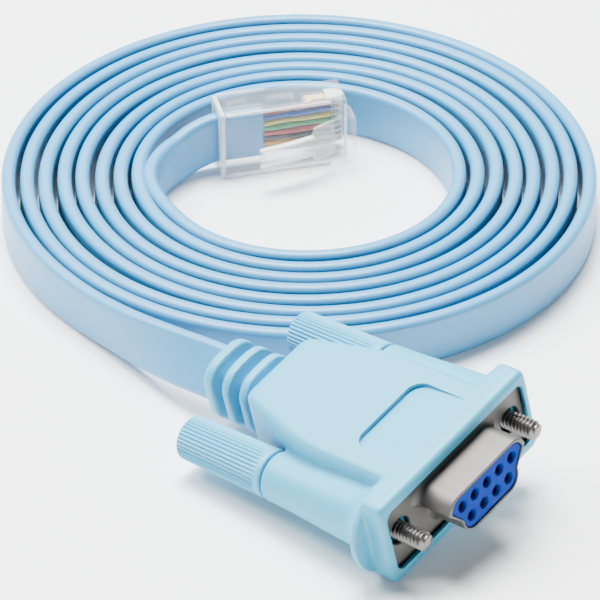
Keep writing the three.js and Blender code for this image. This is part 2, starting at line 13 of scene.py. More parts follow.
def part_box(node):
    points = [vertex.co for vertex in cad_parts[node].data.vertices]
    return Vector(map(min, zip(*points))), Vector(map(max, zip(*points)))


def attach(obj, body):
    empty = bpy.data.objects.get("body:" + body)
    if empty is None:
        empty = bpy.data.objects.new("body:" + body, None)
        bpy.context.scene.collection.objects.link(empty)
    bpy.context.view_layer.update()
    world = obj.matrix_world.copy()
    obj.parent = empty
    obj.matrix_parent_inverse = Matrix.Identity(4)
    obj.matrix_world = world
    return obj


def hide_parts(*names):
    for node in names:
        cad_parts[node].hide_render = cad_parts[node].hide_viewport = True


bl_info = {
    "name": "Console Cable",
    "version": (1, 0, 0),
    "blender": (4, 5, 0),
    "location": "3D View > Sidebar > Cable",
    "description": "Builds a coiled flat console cable with its D connector and modular plug",
    "category": "Add Mesh",
}

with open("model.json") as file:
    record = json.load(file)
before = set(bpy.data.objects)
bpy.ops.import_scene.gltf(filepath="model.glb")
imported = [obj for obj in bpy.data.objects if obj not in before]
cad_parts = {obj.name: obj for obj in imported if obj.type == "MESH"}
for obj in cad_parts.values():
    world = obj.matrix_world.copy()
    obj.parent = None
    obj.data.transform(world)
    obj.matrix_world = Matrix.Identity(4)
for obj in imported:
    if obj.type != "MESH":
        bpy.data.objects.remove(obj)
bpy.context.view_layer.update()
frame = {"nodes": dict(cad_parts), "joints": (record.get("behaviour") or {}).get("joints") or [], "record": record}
JOINTS = {joint["name"]: joint for joint in frame["joints"]}
MOUNTS = {mount["name"]: mount for mount in frame["record"]["mounts"]}
MM = 0.001

# Where the row's turning axes were put along the D connector and the plug, in millimetres
SCREW_STATION = -20.0
LATCH_PIVOT = (18.0, -0.9)

# Where the cable leaves the strain relief and where it starts inside, in the D connector's frame, and its
# middle line from there to the coil, all in millimetres
CABLE_EXIT = (-42.4, 0.0, 0.0)
CABLE_START = (-40.0, 0.0, 0.0)
TAIL_ROUTE = (
    (-24.9, 0.0, 7.4),
    (-29.0, -0.1, 7.05),
    (-33.7, -0.15, 6.55),
    (-38.7, 0.1, 5.95),
    (-43.6, 0.55, 5.35),
    (-48.3, 1.22, 4.85),
    (-51.3, 1.66, 4.55),
    (-54.06, 2.12, 4.36),
)
# From the coil to the plug
LEAD_ROUTE = (
    (-69.53, 33.86, 4.24),
    (-70.57, 36.5, 4.28),
    (-71.11, 39.2, 4.34),
    (-71.14, 41.84, 4.45),
    (-70.99, 43.76, 4.85),
    (-70.52, 45.61, 5.25),
    (-69.91, 47.02, 5.6),
)


def unit(vector):
    return np.asarray(vector, float) / np.linalg.norm(vector)


def placement(origin, along, across):
    """A 4 x 4 matrix from a local frame in millimetres, x along and y across, to the row frame in metres."""
    x = unit(along)
    z = unit(np.cross(x, across))
    y = np.cross(z, x)
    matrix = np.eye(4)
    matrix[:3, 0], matrix[:3, 1], matrix[:3, 2] = x * MM, y * MM, z * MM
    matrix[:3, 3] = origin
    return matrix


def connector_place():
    """The D connector's frame: x out of the plate's face, y to the far screw, z to the wide row."""
    near = np.array(JOINTS["thumbscrew_near_turn"]["pos_m"])
    far = np.array(JOINTS["thumbscrew_far_turn"]["pos_m"])
    along = unit(JOINTS["thumbscrew_near_turn"]["axis"])
    return placement((near + far) / 2 - along * SCREW_STATION * MM, along, far - near)


def plug_place():
    """The plug's frame: x towards its nose, y from its latch face to its contacts, z up from the floor."""
    along = unit(MOUNTS["plug_nose"]["axis"])
    across = np.array((-along[1], along[0], 0.0))
    pivot = np.array(JOINTS["latch_press"]["pos_m"])
    origin = pivot - along * LATCH_PIVOT[0] * MM - across * LATCH_PIVOT[1] * MM
    origin[2] = 0.0
    return placement(origin, along, across)


CONNECTOR = connector_place()
PLUG = plug_place()


def moved(points, matrix):
    """Points, in any grid, taken from a local frame into the row frame."""
    return points @ matrix[:3, :3].T + matrix[:3, 3]


def millimetres(name, description, default):
    """A size, as a property of one of the groups below."""
    return FloatProperty(name=name, description=description, default=default)


def paint(name, description, default):
    """A colour, the same way."""
    return FloatVectorProperty(name=name, description=description, default=default, subtype="COLOR")


class CableSizes(bpy.types.PropertyGroup):
    width: millimetres("Width", "Width of the flat cable", 8.4)
    thickness: millimetres("Thickness", "Thickness of the flat cable", 2.2)
    edge: millimetres("Edge radius", "Rounding of the cable's four edges", 0.92)
    pitch: millimetres("Pitch", "Distance from one turn to the next", 2.86)
    start_radius: millimetres("Start radius", "Middle line's radius at the left", 45.3)
    turns: FloatProperty(name="Turns", description="Turns that the cable is wound into", default=8.0)
    step: millimetres("Step", "Length of one mesh segment", 1.1)
    lean: FloatProperty(
        name="Lean", description="How far the cable leans at the strain relief",
        default=math.radians(32), subtype="ANGLE",
    )
    jacket: paint("Jacket", "Colour of the cable", (0.05, 0.30, 0.56))


class HoodSizes(bpy.types.PropertyGroup):
    height: millimetres("Height", "Height of the hood", 14.4)
    rear_x: millimetres("Rear", "Where the hood's rear face stands", -32.2)
    shoulder_x: millimetres("Shoulder", "Where the tapered sides end", -18.2)
    rear_width: millimetres("Rear width", "Width at the rear face", 13.8)
    body_width: millimetres("Body width", "Width past the shoulder", 21.8)
    edge: millimetres("Edge", "Rounding of the long edges", 1.2)
    flange_width: millimetres("Flange width", "Width of the flange", 32.9)
    flange_rear_x: millimetres("Flange rear", "Rear face of the flange", -3.3)
    rim_x: millimetres("Rim", "Front face of the rim round the plate", 0.9)
    screw_spacing: millimetres("Screw spacing", "Between the two screws", 24.99)
    boss_rear_x: millimetres("Boss rear", "Rear end of the screw bosses", -22.7)
    voxel: millimetres("Voxel", "Grain of the moulded surface", 0.3)
    colour: paint("Hood", "Colour of the moulded hood", (0.045, 0.41, 0.62))


class ScrewSizes(bpy.types.PropertyGroup):
    knob_rear_x: millimetres("Knob rear", "Rear end of a knob", -39.0)
    knob_front_x: millimetres("Knob front", "Front end of a knob", -23.0)
    front_radius: millimetres("Front radius", "Knob radius at its front", 3.65)
    rear_radius: millimetres("Rear radius", "Knob radius at its rear", 3.3)
    ribs: IntProperty(name="Ribs", description="Ribs round a knob", default=36)
    rib_depth: millimetres("Rib depth", "Depth between two ribs", 0.27)
    thread_radius: millimetres("Thread radius", "Outer radius of the thread", 1.42)
    thread_pitch: millimetres("Thread pitch", "Rise of one thread turn", 0.635)
    thread_depth: millimetres("Thread depth", "Depth of the thread", 0.38)
    tip_x: millimetres("Tip", "Front end of the screw", 5.0)
    shank_rear_x: millimetres("Shank rear", "Rear end of the shank", -33.0)


class ShellSizes(bpy.types.PropertyGroup):
    plate_width: millimetres("Plate width", "Width of the steel plate", 30.81)
    plate_height: millimetres("Plate height", "Height of the plate", 12.55)
    plate_thickness: millimetres("Plate thickness", "Thickness of the plate", 0.8)
    plate_corner: millimetres("Plate corner", "Corner radius of the plate", 1.2)
    width: millimetres("Shell width", "Width of the D shell", 16.33)
    height: millimetres("Shell height", "Height of the D shell", 7.9)
    corner: millimetres("Shell corner", "Corner radius of the D shell", 2.6)
    wall: millimetres("Wall", "Wall of the D shell", 0.5)
    reach: millimetres("Reach", "How far the D shell stands out", 6.1)
    hole_radius: millimetres("Hole radius", "Radius of the screw holes", 2.05)
    insulator: paint("Insulator", "Colour of the insulator", (0.0002, 0.035, 0.32))


class PlugSizes(bpy.types.PropertyGroup):
    width: millimetres("Width", "Width of the plug", 11.68)
    depth: millimetres("Depth", "Latch face to contact face", 6.5)
    body_length: millimetres("Body length", "Length of the plug's body", 20.2)
    jacket_y: millimetres("Cable place", "Middle of the cable in the plug", 3.25)
    jacket_end: millimetres("Cable end", "Where the jacket ends in the plug", 7.2)
    wire_end: millimetres("Wire end", "Where the wires end", 18.4)
    wire_radius: millimetres("Wire radius", "Radius of a wire", 0.45)
    blade_pitch: millimetres("Pitch", "Contact pitch", 1.02)
    clarity: FloatProperty(
        name="Clarity", description="How clear the plastic is", default=0.9, subtype="FACTOR",
    )


# Shader graphs


class Signal:
    """One output of a shader graph. Arithmetic on numbers adds Math nodes."""

    def __init__(self, graph, socket):
        self.graph = graph
        self.socket = socket

    def maths(self, operation, other):
        return self.graph.add("ShaderNodeMath", {"operation": operation}, {0: self, 1: other})

    def __add__(self, other):
        return self.maths("ADD", other)

    def __mul__(self, other):
        return self.maths("MULTIPLY", other)

    def __pow__(self, other):
        return self.maths("POWER", other)

    def clamped(self):
        return self.graph.add("ShaderNodeClamp", {}, {0: self})


class Graph:
    """A material's node tree, with its one Principled shader."""

    def __init__(self, name, colour, roughness, **constants):
        self.material = bpy.data.materials.new(name)
        self.material.use_nodes = True
        self.tree = self.material.node_tree
        self.shader = self.tree.nodes["Principled BSDF"]
        self.put("Base Color", (*colour, 1.0))
        self.put("Roughness", roughness)
        for socket, value in constants.items():
            self.put(socket.replace("_", " ").title().replace("Ior", "IOR"), value)
        self.material.diffuse_color = (*colour, 1.0)

    def add(self, kind, settings=None, inputs=None, output=0):
        """A node of a kind, with its settings, then its inputs, by name or place."""
        node = self.tree.nodes.new(kind)
        for name, value in (settings or {}).items():
            setattr(node, name, value)
        for name, value in (inputs or {}).items():
            self.feed(node.inputs[name], value)
        return Signal(self, node.outputs[output])

    def feed(self, socket, value):
        if isinstance(value, Signal):
            self.tree.links.new(value.socket, socket)
        else:
            socket.default_value = value

    def put(self, name, value):
        self.feed(self.shader.inputs[name], value)

    def place(self):
        """Object coordinates."""
        return self.add("ShaderNodeTexCoord", output="Object")

    def stretched(self, scale):
        """Object coordinates, with each axis scaled."""
        return self.add("ShaderNodeMapping", {}, {"Vector": self.place(), "Scale": scale})

    def noise(self, scale, detail=3.0, vector=None, roughness=0.5):
        inputs = {"Vector": vector or self.place(), "Scale": scale, "Detail": detail, "Roughness": roughness}
        return self.add("ShaderNodeTexNoise", {}, inputs)

    def mixed(self, share, first, second):
        """A blend of two colours."""
        colours = [c if isinstance(c, Signal) else (*c, 1.0) for c in (first, second)]
        inputs = {"Factor": share, 6: colours[0], 7: colours[1]}
        return self.add("ShaderNodeMix", {"data_type": "RGBA"}, inputs, output=2)

    def shades(self, share, colour, darkest, palest):
        """Shades of a colour, from one factor of it to another."""
        return self.mixed(share, shaded(colour, darkest), shaded(colour, palest))

    def bumped(self, height, distance, strength):
        """Raises the surface by a height, in metres."""
        inputs = {"Height": height, "Distance": distance, "Strength": strength}
        self.put("Normal", self.add("ShaderNodeBump", {}, inputs))


def shaded(colour, factor):
    return tuple(min(1.0, channel * factor) for channel in colour)


def jacket_material(colour):
    """Extruded jacket: fine lines along the cable, soft patches of darker and paler tone, and painted shade down
    the sides that face a neighbouring turn.
    """
    graph = Graph("cable_jacket", colour, 0.32, specular_ior_level=0.5, coat_weight=0.12, coat_roughness=0.25)
    strip = graph.add("ShaderNodeUVMap", {"uv_map": "strip"})
    lines = graph.add("ShaderNodeMapping", {}, {"Vector": strip, "Scale": (6.0, 900.0, 1.0)})
    drawn = graph.noise(1.0, 2.0, lines)
    patches = graph.noise(60.0, 2.0)
    face = graph.shades(patches, colour, 0.93, 1.07)
    # Painted shade: deep down on a side that faces a neighbouring turn, the colour is darkened to a small part of
    # itself
    gap_shade = graph.add("ShaderNodeAttribute", {"attribute_name": "gap_shade"}, output="Fac")
    graph.put("Base Color", graph.mixed(gap_shade * 0.9, face, shaded(colour, 0.12)))
    graph.put("Roughness", drawn * 0.08 + 0.28 + patches * 0.06)
    graph.bumped(drawn, 0.00003, 0.5)
    return graph.material


def hood_material(name, colour):
    """Moulded plastic with a fine spark-eroded grain, a little darker in its patches."""
    graph = Graph(name, colour, 0.42, specular_ior_level=0.45)
    grain = graph.noise(2600.0, 4.0, roughness=0.6)
    patches = graph.noise(90.0, 3.0)
    graph.put("Base Color", graph.shades(patches, colour, 0.95, 1.05))
    graph.put("Roughness", grain * 0.12 + 0.36)
    graph.bumped(grain, 0.00002, 0.35)
    return graph.material


def insulator_material(colour):
    """Blue moulded plastic that darkens down its holes, where no light comes."""
    graph = Graph("insulator_plastic", colour, 0.35, specular_ior_level=0.03)
    patches = graph.noise(400.0, 3.0)
    bore_shade = graph.add("ShaderNodeAttribute", {"attribute_name": "bore_shade"}, output="Fac")
    face = graph.shades(patches, colour, 0.88, 1.1)
    # Painted shade: down the holes the colour goes to near black
    graph.put("Base Color", graph.mixed(bore_shade, face, (0.002, 0.006, 0.03)))
    graph.put("Roughness", patches * 0.15 + 0.28)
    graph.bumped(graph.noise(3000.0, 3.0), 0.000015, 0.3)
    return graph.material


def steel_material(name, colour, roughness, grain_scale):
    """Plated steel, with the fine lines of rolling or turning stretched along one axis."""
    graph = Graph(name, colour, roughness, metallic=0.8)
    lines = graph.noise(1.0, 4.0, graph.stretched(grain_scale))
    smears = graph.noise(220.0, 3.0)
    graph.put("Base Color", graph.shades(smears, colour, 0.86, 1.08))
    graph.put("Roughness", lines * 0.16 + (roughness - 0.08) + smears * 0.08)
    graph.bumped(lines, 0.00002, 0.35)
    return graph.material


def glossy_material(name, colour, grain, roughness, spread, **constants):
    """A smooth surface with faint smears, whose roughness goes up by a spread."""
    graph = Graph(name, colour, roughness, **constants)
    smears = graph.noise(grain, 2.0)
    graph.put("Base Color", graph.shades(smears, colour, 0.85, 1.1))
    graph.put("Roughness", smears * spread + roughness)
    return graph.material


def gold_material():
    return glossy_material("gold_plating", (0.83, 0.58, 0.22), 900.0, 0.16, 0.2, metallic=1.0)


def clear_material(name, clarity):
    """Clear moulded plastic: see-through where it is faced, and whitish where it turns away, a painted reflection
    like the one clear plastic shows at a slant.
    """
    colour = (0.93, 0.97, 1.0)
    graph = Graph(name, colour, 0.06, specular_ior_level=1.0, ior=1.5)
    flow = graph.noise(260.0, 3.0)
    turned_away = graph.add("ShaderNodeLayerWeight", {}, {"Blend": 0.45}, output="Facing")
    graph.put("Base Color", graph.mixed(flow, shaded(colour, 0.8), (0.97, 0.99, 1.0)))
    graph.put("Roughness", flow * 0.12 + 0.02)
    # Painted reflection: the plastic grows less clear, and so whiter, where its surface turns away
    graph.put("Alpha", (turned_away ** 3.0 * 0.6 + flow * 0.06 + (0.93 - clarity)).clamped())
    graph.bumped(flow, 0.0002, 0.5)
    return graph.material


def floor_material():
    graph = Graph("floor_paper", (0.93, 0.935, 0.94), 0.6, emission_strength=0.15)
    graph.put("Emission Color", (1.0, 1.0, 1.0, 1.0))
    fibres = graph.noise(40.0, 3.0)
    graph.put("Base Color", graph.mixed(fibres, (0.925, 0.93, 0.935), (0.94, 0.945, 0.95)))
    return graph.material


# Meshes from arrays


def placed(name, data):
    """A new object in the scene."""
    thing = bpy.data.objects.new(name, data)
    bpy.context.scene.collection.objects.link(thing)
    return thing


def mesh_from(name, points, faces):
    mesh = bpy.data.meshes.new(name)
    mesh.from_pydata(points.reshape(-1, 3).tolist(), [], faces)
    mesh.validate()
    return placed(name, mesh)


def grid_faces(rows, columns, closed):
    """Quads between neighbouring rows of points. The columns close on themselves, and the rows may."""
    last = rows if closed else rows - 1
    row = np.arange(last)[:, None]
    column = np.arange(columns)[None, :]
    here, there = row * columns, ((row + 1) % rows) * columns
    following = (column + 1) % columns
    quads = np.stack([here + column, here + following, there + following, there + column], axis=-1)
    return quads.reshape(-1, 4).tolist()


def sweep(name, rings, closed=False):
    """A closed body from rings of points: its last ring meets its first, or a flat face covers each end."""
    rows, columns = rings.shape[:2]
    faces = grid_faces(rows, columns, closed)
    if not closed:
        faces.append(list(range(columns))[::-1])
        faces.append([(rows - 1) * columns + i for i in range(columns)])
    thing = mesh_from(name, rings, faces)
    face_outwards(thing)
    return thing


def face_outwards(thing):
    """Turns every face of a closed body out."""
    work = bmesh.new()
    work.from_mesh(thing.data)
    bmesh.ops.recalc_face_normals(work, faces=work.faces)
    work.to_mesh(thing.data)
    work.free()


def circle(sides):
    return np.linspace(0, 2 * np.pi, sides, endpoint=False)


def round_rings(x, radius, angle, y=0.0, z=0.0):
    """Rings across x, one a row: (x, y + r cos a, z + r sin a)."""
    across = y + radius * np.cos(angle)
    return np.stack([x + 0 * across, across, z + radius * np.sin(angle)], axis=-1)


def turned(name, stations, radii, centre=(0.0, 0.0), sides=64):
    """A lathe body along x."""
    x, radius = (np.asarray(values, float)[:, None] for values in (stations, radii))
    return sweep(name, round_rings(x, radius, circle(sides), *centre))


def rounded_rectangle(half_width, half_height, radius, corner_points=9, flat_points=0):
    """Points round a rectangle: each corner is its arc's centre plus radius (cos a, sin a).

    Sizes may be arrays, and the result then has a row of points for each of their values.
    """
    w, h, r = (np.asarray(v, float)[..., None] for v in (half_width, half_height, radius))
    quarter = np.linspace(0, np.pi / 2, corner_points)
    columns = []
    for turn, (sx, sy) in enumerate([(1, 1), (-1, 1), (-1, -1), (1, -1)]):
        angle = quarter + turn * np.pi / 2
        corner = [sx * (w - r) + r * np.cos(angle), sy * (h - r) + r * np.sin(angle)]
        columns.append(np.stack(corner, axis=-1))
    if flat_points:
        filled = []
        for here, there in zip(columns, columns[1:] + columns[:1]):
            share = np.linspace(0, 1, flat_points + 2)[1:-1, None]
            filled += [here, here[..., -1:, :] * (1 - share) + there[..., :1, :] * share]
        columns = filled
    return np.concatenate(columns, axis=-2)


def along_x(stations, outline):
    """Rings from an outline in y and z, one for each station, or one outline for them all."""
    x = np.asarray(stations, float)
    outline = np.broadcast_to(outline, (len(x),) + outline.shape[-2:])
    return np.concatenate([np.broadcast_to(x[:, None, None], outline.shape[:2] + (1,)), outline], axis=-1)


def rounded_ends(x0, x1, radius, steps=6):
    """Stations from x0 to x1, and how far an outline draws in at each: radius (1 - sin a) at an end."""
    arc = np.linspace(0, np.pi / 2, steps)
    bite = radius * (1 - np.sin(arc))
    reach = radius * (1 - np.cos(arc))
    return np.concatenate([x0 + reach, x1 - reach[::-1]]), np.concatenate([bite, bite[::-1]])


def apply_modifiers(thing):
    """Leaves the thing with the mesh that its modifiers make."""
    bpy.context.view_layer.update()
    seen = thing.evaluated_get(bpy.context.evaluated_depsgraph_get())
    mesh = bpy.data.meshes.new_from_object(seen)
    thing.modifiers.clear()
    old, thing.data = thing.data, mesh
    bpy.data.meshes.remove(old)
    mesh.name = thing.name


def combined(thing, tools, operation):
    """Changes a body by others, which are used up."""
    for tool in tools:
        step = thing.modifiers.new("step", "BOOLEAN")
        step.operation = operation
        step.solver = "EXACT"
        step.object = tool
    apply_modifiers(thing)
    for tool in tools:
        bpy.data.objects.remove(tool)
    return thing


def fused(thing, tools):
    return combined(thing, tools, "UNION")


def cut(thing, tools):
    return combined(thing, tools, "DIFFERENCE")


def joined(name, things):
    """One piece of several bodies that don't touch."""
    work = bmesh.new()
    for thing in things:
        work.from_mesh(thing.data)
        bpy.data.objects.remove(thing)
    mesh = bpy.data.meshes.new(name)
    work.to_mesh(mesh)
    work.free()
    return placed(name, mesh)


def smooth(thing, crease_degrees):
    """Shades the thing smooth, with creases left sharp and flats left flat."""
    thing.data.shade_smooth()
    thing.data.set_sharp_from_angle(angle=math.radians(crease_degrees))
    weigh = thing.modifiers.new("weigh", "WEIGHTED_NORMAL")
    weigh.keep_sharp = True
    return thing


def set_down(thing, matrix):
    """Moves a mesh made in a local frame into the row frame."""
    thing.data.transform(Matrix(matrix.tolist()))
    return thing


def coloured(thing, material):
    thing.data.materials.clear()
    thing.data.materials.append(material)


def dressed(thing, material, slot, body, *replaced):
    """Gives a piece its material and the body it rides on, and hides the nodes it stands for. The slot is not
    used.
    """
    coloured(thing, material)
    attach(thing, body)
    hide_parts(*replaced)


# The flat cable

# Where the coil starts: the angle about its middle, and the sample of the cable's middle line
COIL_START_ANGLE = np.radians(180.0 + 40.7)
COIL_START_SAMPLE = 34


def coil_middle():
    """The coil's centre, in millimetres, from its solid."""
    low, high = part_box("cable_coil")
    return np.array((low + high) / 2)[:2] / MM


def coil_route(sizes, first_turn, last_turn):
    """A spiral that wanders a little: at turn t the radius is start_radius - pitch t, lifted at its start."""
    centre = coil_middle()
    steps_a_turn, lift, settling = 24, 0.16, 0.05
    turn = np.arange(first_turn, last_turn, 1 / steps_a_turn)
    angle = COIL_START_ANGLE - 2 * np.pi * turn
    wander = 0.1 * np.sin(2.3 * angle + 1.0) + 0.07 * np.sin(3.7 * angle + 0.4)
    radius = sizes.start_radius - sizes.pitch * turn + wander
    height = sizes.width / 2 + lift * np.exp(-((turn - first_turn) / settling))
    x, y = centre[0] + radius * np.cos(angle), centre[1] + radius * np.sin(angle)
    return np.stack([x, y, height], axis=-1)


def plug_route(plug):
    """The straight stretch in the plug's mouth."""
    local = np.array([(x, plug.jacket_y, plug.width / 2) for x in (-0.6, 1.5, 4.4, plug.jacket_end)])
    return moved(local, PLUG) / MM


def smooth_route(points, step):
    """A cubic through the points, with evenly spaced samples.

    Between two points it is the Hermite cubic whose slope at each is the mean of the chords' slopes,
    each weighed by the other chord's length.
    """
    chord = np.linalg.norm(np.diff(points, axis=0), axis=1)
    knots = np.concatenate([[0], np.cumsum(chord)])
    slope = np.diff(points, axis=0) / chord[:, None]
    inner = (slope[:-1] * chord[1:, None] + slope[1:] * chord[:-1, None]) / (chord[1:] + chord[:-1])[:, None]
    tangent = np.concatenate([slope[:1], inner, slope[-1:]])
    where = np.linspace(0, knots[-1], int(knots[-1] / step) * 4)
    span = np.clip(np.searchsorted(knots, where, side="right") - 1, 0, len(chord) - 1)
    t = ((where - knots[span]) / chord[span])[:, None]
    length = chord[span][:, None]
    curve = (
        (2 * t**3 - 3 * t**2 + 1) * points[span] + (t**3 - 2 * t**2 + t) * length * tangent[span]
        + (3 * t**2 - 2 * t**3) * points[span + 1] + (t**3 - t**2) * length * tangent[span + 1]
    )
    run = np.concatenate([[0], np.cumsum(np.linalg.norm(np.diff(curve, axis=0), axis=1))])
    even = np.linspace(0, run[-1], int(run[-1] / step) + 1)
    return np.stack([np.interp(even, run, curve[:, axis]) for axis in range(3)], axis=-1), even


def cable_rings(middle, run, sizes):
    """The cable's section carried on edge along its middle line.

    A section point (p, q) goes to the middle plus p times up plus q times side. Up is square to the
    line, and leans by an angle that dies away from the strain relief as a half cosine.
    """
    tangent = np.gradient(middle, axis=0)
    tangent /= np.linalg.norm(tangent, axis=1)[:, None]
    side = np.cross((0.0, 0.0, 1.0), tangent)
    side /= np.linalg.norm(side, axis=1)[:, None]
    up = np.cross(tangent, side)
    twist_length, fade_length, sway_length, most_sway = 30.0, 60.0, 1 / 0.041, math.radians(1.6)
    share = np.clip(run / twist_length, 0, 1)
    coiled = np.clip((run - twist_length) / fade_length, 0, 1) * np.clip((run[-1] - run) / fade_length, 0, 1)
    sway = most_sway * np.sin(run / sway_length) * coiled
    lean = sizes.lean * (0.5 + 0.5 * np.cos(np.pi * share)) + sway
    leant_up = up * np.cos(lean)[:, None] - side * np.sin(lean)[:, None]
    leant_side = side * np.cos(lean)[:, None] + up * np.sin(lean)[:, None]
    section = rounded_rectangle(sizes.width / 2, sizes.thickness / 2, sizes.edge, 6, 3)
    rings = (
        middle[:, None, :] + section[None, :, :1] * leant_up[:, None, :]
        + section[None, :, 1:] * leant_side[:, None, :]
    )
    return rings, section


def lay_strip_map(thing, rows, columns, run):
    """A map of the jacket: across it the way round the section, along it the run in metres."""
    layer = thing.data.uv_layers.new(name="strip")
    vertex = np.zeros(len(thing.data.loops), np.int64)
    thing.data.loops.foreach_get("vertex_index", vertex)
    along = run[np.clip(vertex // columns, 0, rows - 1)] * MM
    round_it = (vertex % columns) / columns
    round_it = np.where(round_it > 0.5, 1 - round_it, round_it)
    layer.data.foreach_set("uv", np.stack([along * 20, round_it], axis=-1).astype(np.float32).ravel())


def paint_gap_shade(thing, section, middle, sizes):
    """Painted shade between the turns: 1 deep on a side that a turn faces, 0 on the rims and on open sides."""
    rim, fade, side = 0.25, 2.2, 0.7 * sizes.thickness / 2
    away = middle[:, :2] - coil_middle()
    swept = -np.unwrap(np.arctan2(away[:, 1], away[:, 0]))
    turn = (swept - swept[COIL_START_SAMPLE]) / (2 * np.pi)
    depth = np.clip((sizes.width / 2 - np.abs(section[:, 0]) - rim) / fade, 0, 1)
    outer, inner = (section[:, 1] > side) * depth, (section[:, 1] < -side) * depth
    # From the second turn on there is a neighbour outside, and up to the last but one there is one inside
    has_outer = rising(turn, 0.93, 1.0)
    has_inner = rising(turn, -0.02, 0.05) * (1 - rising(turn, sizes.turns - 1.1, sizes.turns - 1.0))
    gap_shade = has_outer[:, None] * outer + has_inner[:, None] * inner
    layer = thing.data.attributes.new("gap_shade", "FLOAT", "POINT")
    layer.data.foreach_set("value", gap_shade.astype(np.float32).ravel())


class CONSOLE_OT_cable(bpy.types.Operator):
    """The flat cable, from the strain relief round the coil into the plug"""

    bl_idname = "console.cable"
    bl_label = "Flat Cable"

    def execute(self, context):
        sizes = context.scene.console_cable
        plug = context.scene.console_plug
        exit_point = moved(np.array(CABLE_EXIT), CONNECTOR)
        starts_early, ends_early = 0.09, 0.055
        route = np.concatenate([
            [moved(np.array(CABLE_START), CONNECTOR) / MM],
            np.array(TAIL_ROUTE),
            coil_route(sizes, -starts_early, sizes.turns - ends_early),
            np.array(LEAD_ROUTE),
            plug_route(plug),
        ])
        middle, run = smooth_route(route, sizes.step)
        rings, section = cable_rings(middle, run, sizes)
        cable = sweep("flat_cable", rings * MM)
        lay_strip_map(cable, len(rings), len(section), run)
        # Paints shade down the sides of the jacket that face a neighbouring turn
        paint_gap_shade(cable, section, middle, sizes)
        smooth(cable, 60.0)
        material = jacket_material(sizes.jacket)
        dressed(cable, material, "cable_jacket", "root", "cable_coil", "cable_tail", "cable_lead")
        return {"FINISHED"}


# The stage


CAMERA_TURN = math.radians(40.7)
CAMERA_LOOKS_AT = (-34.12 * MM, 27.83 * MM, 0.0)
CAMERA_DISTANCE = 0.717
CAMERA_ELEVATION = math.radians(34.95)
CAMERA_LENS = 286.9
CAMERA_SHIFT = (-0.002, 0.015)

# Soft boxes: how far right of, behind and above the middle in metres, then size and watts
LIGHTS = {
    "key_light": ((-0.7, 0.15, 0.85), (0.45, 0.45), 16.0),
    "top_light": ((-0.1, 0.3, 1.05), (0.6, 0.45), 52.0),
    "back_light": ((-0.15, 1.1, 0.72), (1.3, 0.5), 12.0),
    "fill_light": ((0.8, -0.5, 0.6), (0.5, 0.5), 0.8),
}
FLOOR_REACH = 3.0


def seen_from(right, away, up):
    """A place given by how far it is to the right of, behind and above the point that the camera looks at."""
    cos, sin = math.cos(CAMERA_TURN), math.sin(CAMERA_TURN)
    place = Vector((right * cos - away * sin, right * sin + away * cos, up))
    return place + Vector(CAMERA_LOOKS_AT)


def aimed(thing, place):
    """Puts a camera or a light in a place, facing the point that the camera looks at."""
    thing.location = place
    thing.rotation_euler = (Vector(CAMERA_LOOKS_AT) - place).to_track_quat("-Z", "Y").to_euler()


def soft_box(name, place, size, power):
    light = bpy.data.lights.new(name, "AREA")
    light.shape = "RECTANGLE"
    light.size, light.size_y = size
    light.energy = power
    aimed(placed(name, light), place)


def studio_world():
    """Light from all round, weaker from in front on the right: its strength falls as d . n rises."""
    world = bpy.data.worlds.new("studio")
    world.use_nodes = True
    tree = world.node_tree
    background = tree.nodes["Background"]
    background.inputs["Color"].default_value = (0.93, 0.965, 1.0, 1.0)
    towards = (seen_from(0.55, -0.8, 0.1) - Vector(CAMERA_LOOKS_AT)).normalized()
    coordinates = tree.nodes.new("ShaderNodeTexCoord")
    along = tree.nodes.new("ShaderNodeVectorMath")
    along.operation = "DOT_PRODUCT"
    along.inputs[1].default_value = towards
    fall = tree.nodes.new("ShaderNodeMapRange")
    for socket, value in {"From Min": -0.2, "From Max": 0.7, "To Min": 0.16, "To Max": 0.02}.items():
        fall.inputs[socket].default_value = value
    tree.links.new(coordinates.outputs["Generated"], along.inputs[0])
    tree.links.new(along.outputs["Value"], fall.inputs["Value"])
    tree.links.new(fall.outputs["Result"], background.inputs["Strength"])
    return world


class CONSOLE_OT_stage(bpy.types.Operator):
    """The camera, the pale floor and the soft light"""

    bl_idname = "console.stage"
    bl_label = "Stage"

    def execute(self, context):
        lens = bpy.data.cameras.new("camera")
        lens.lens = CAMERA_LENS
        lens.sensor_width = 36.0
        lens.shift_x, lens.shift_y = CAMERA_SHIFT
        lens.clip_start = 0.01
        camera = placed("camera", lens)
        back = CAMERA_DISTANCE * math.cos(CAMERA_ELEVATION)
        aimed(camera, seen_from(0.0, -back, CAMERA_DISTANCE * math.sin(CAMERA_ELEVATION)))
        context.scene.camera = camera

        corners = FLOOR_REACH * np.array([(-1, -1, 0), (1, -1, 0), (1, 1, 0), (-1, 1, 0)])
        floor = mesh_from("floor", corners, [[0, 1, 2, 3]])
        floor.data.materials.append(floor_material())

        for name, (place, size, power) in LIGHTS.items():
            soft_box(name, seen_from(*place), size, power)
        context.scene.world = studio_world()
        return {"FINISHED"}


# The moulded hood


def rising(value, low, high):
    """A smooth step from 0 at low to 1 at high: t t (3 - 2 t)."""
    t = np.clip((value - low) / (high - low), 0, 1)
    return t * t * (3 - 2 * t)


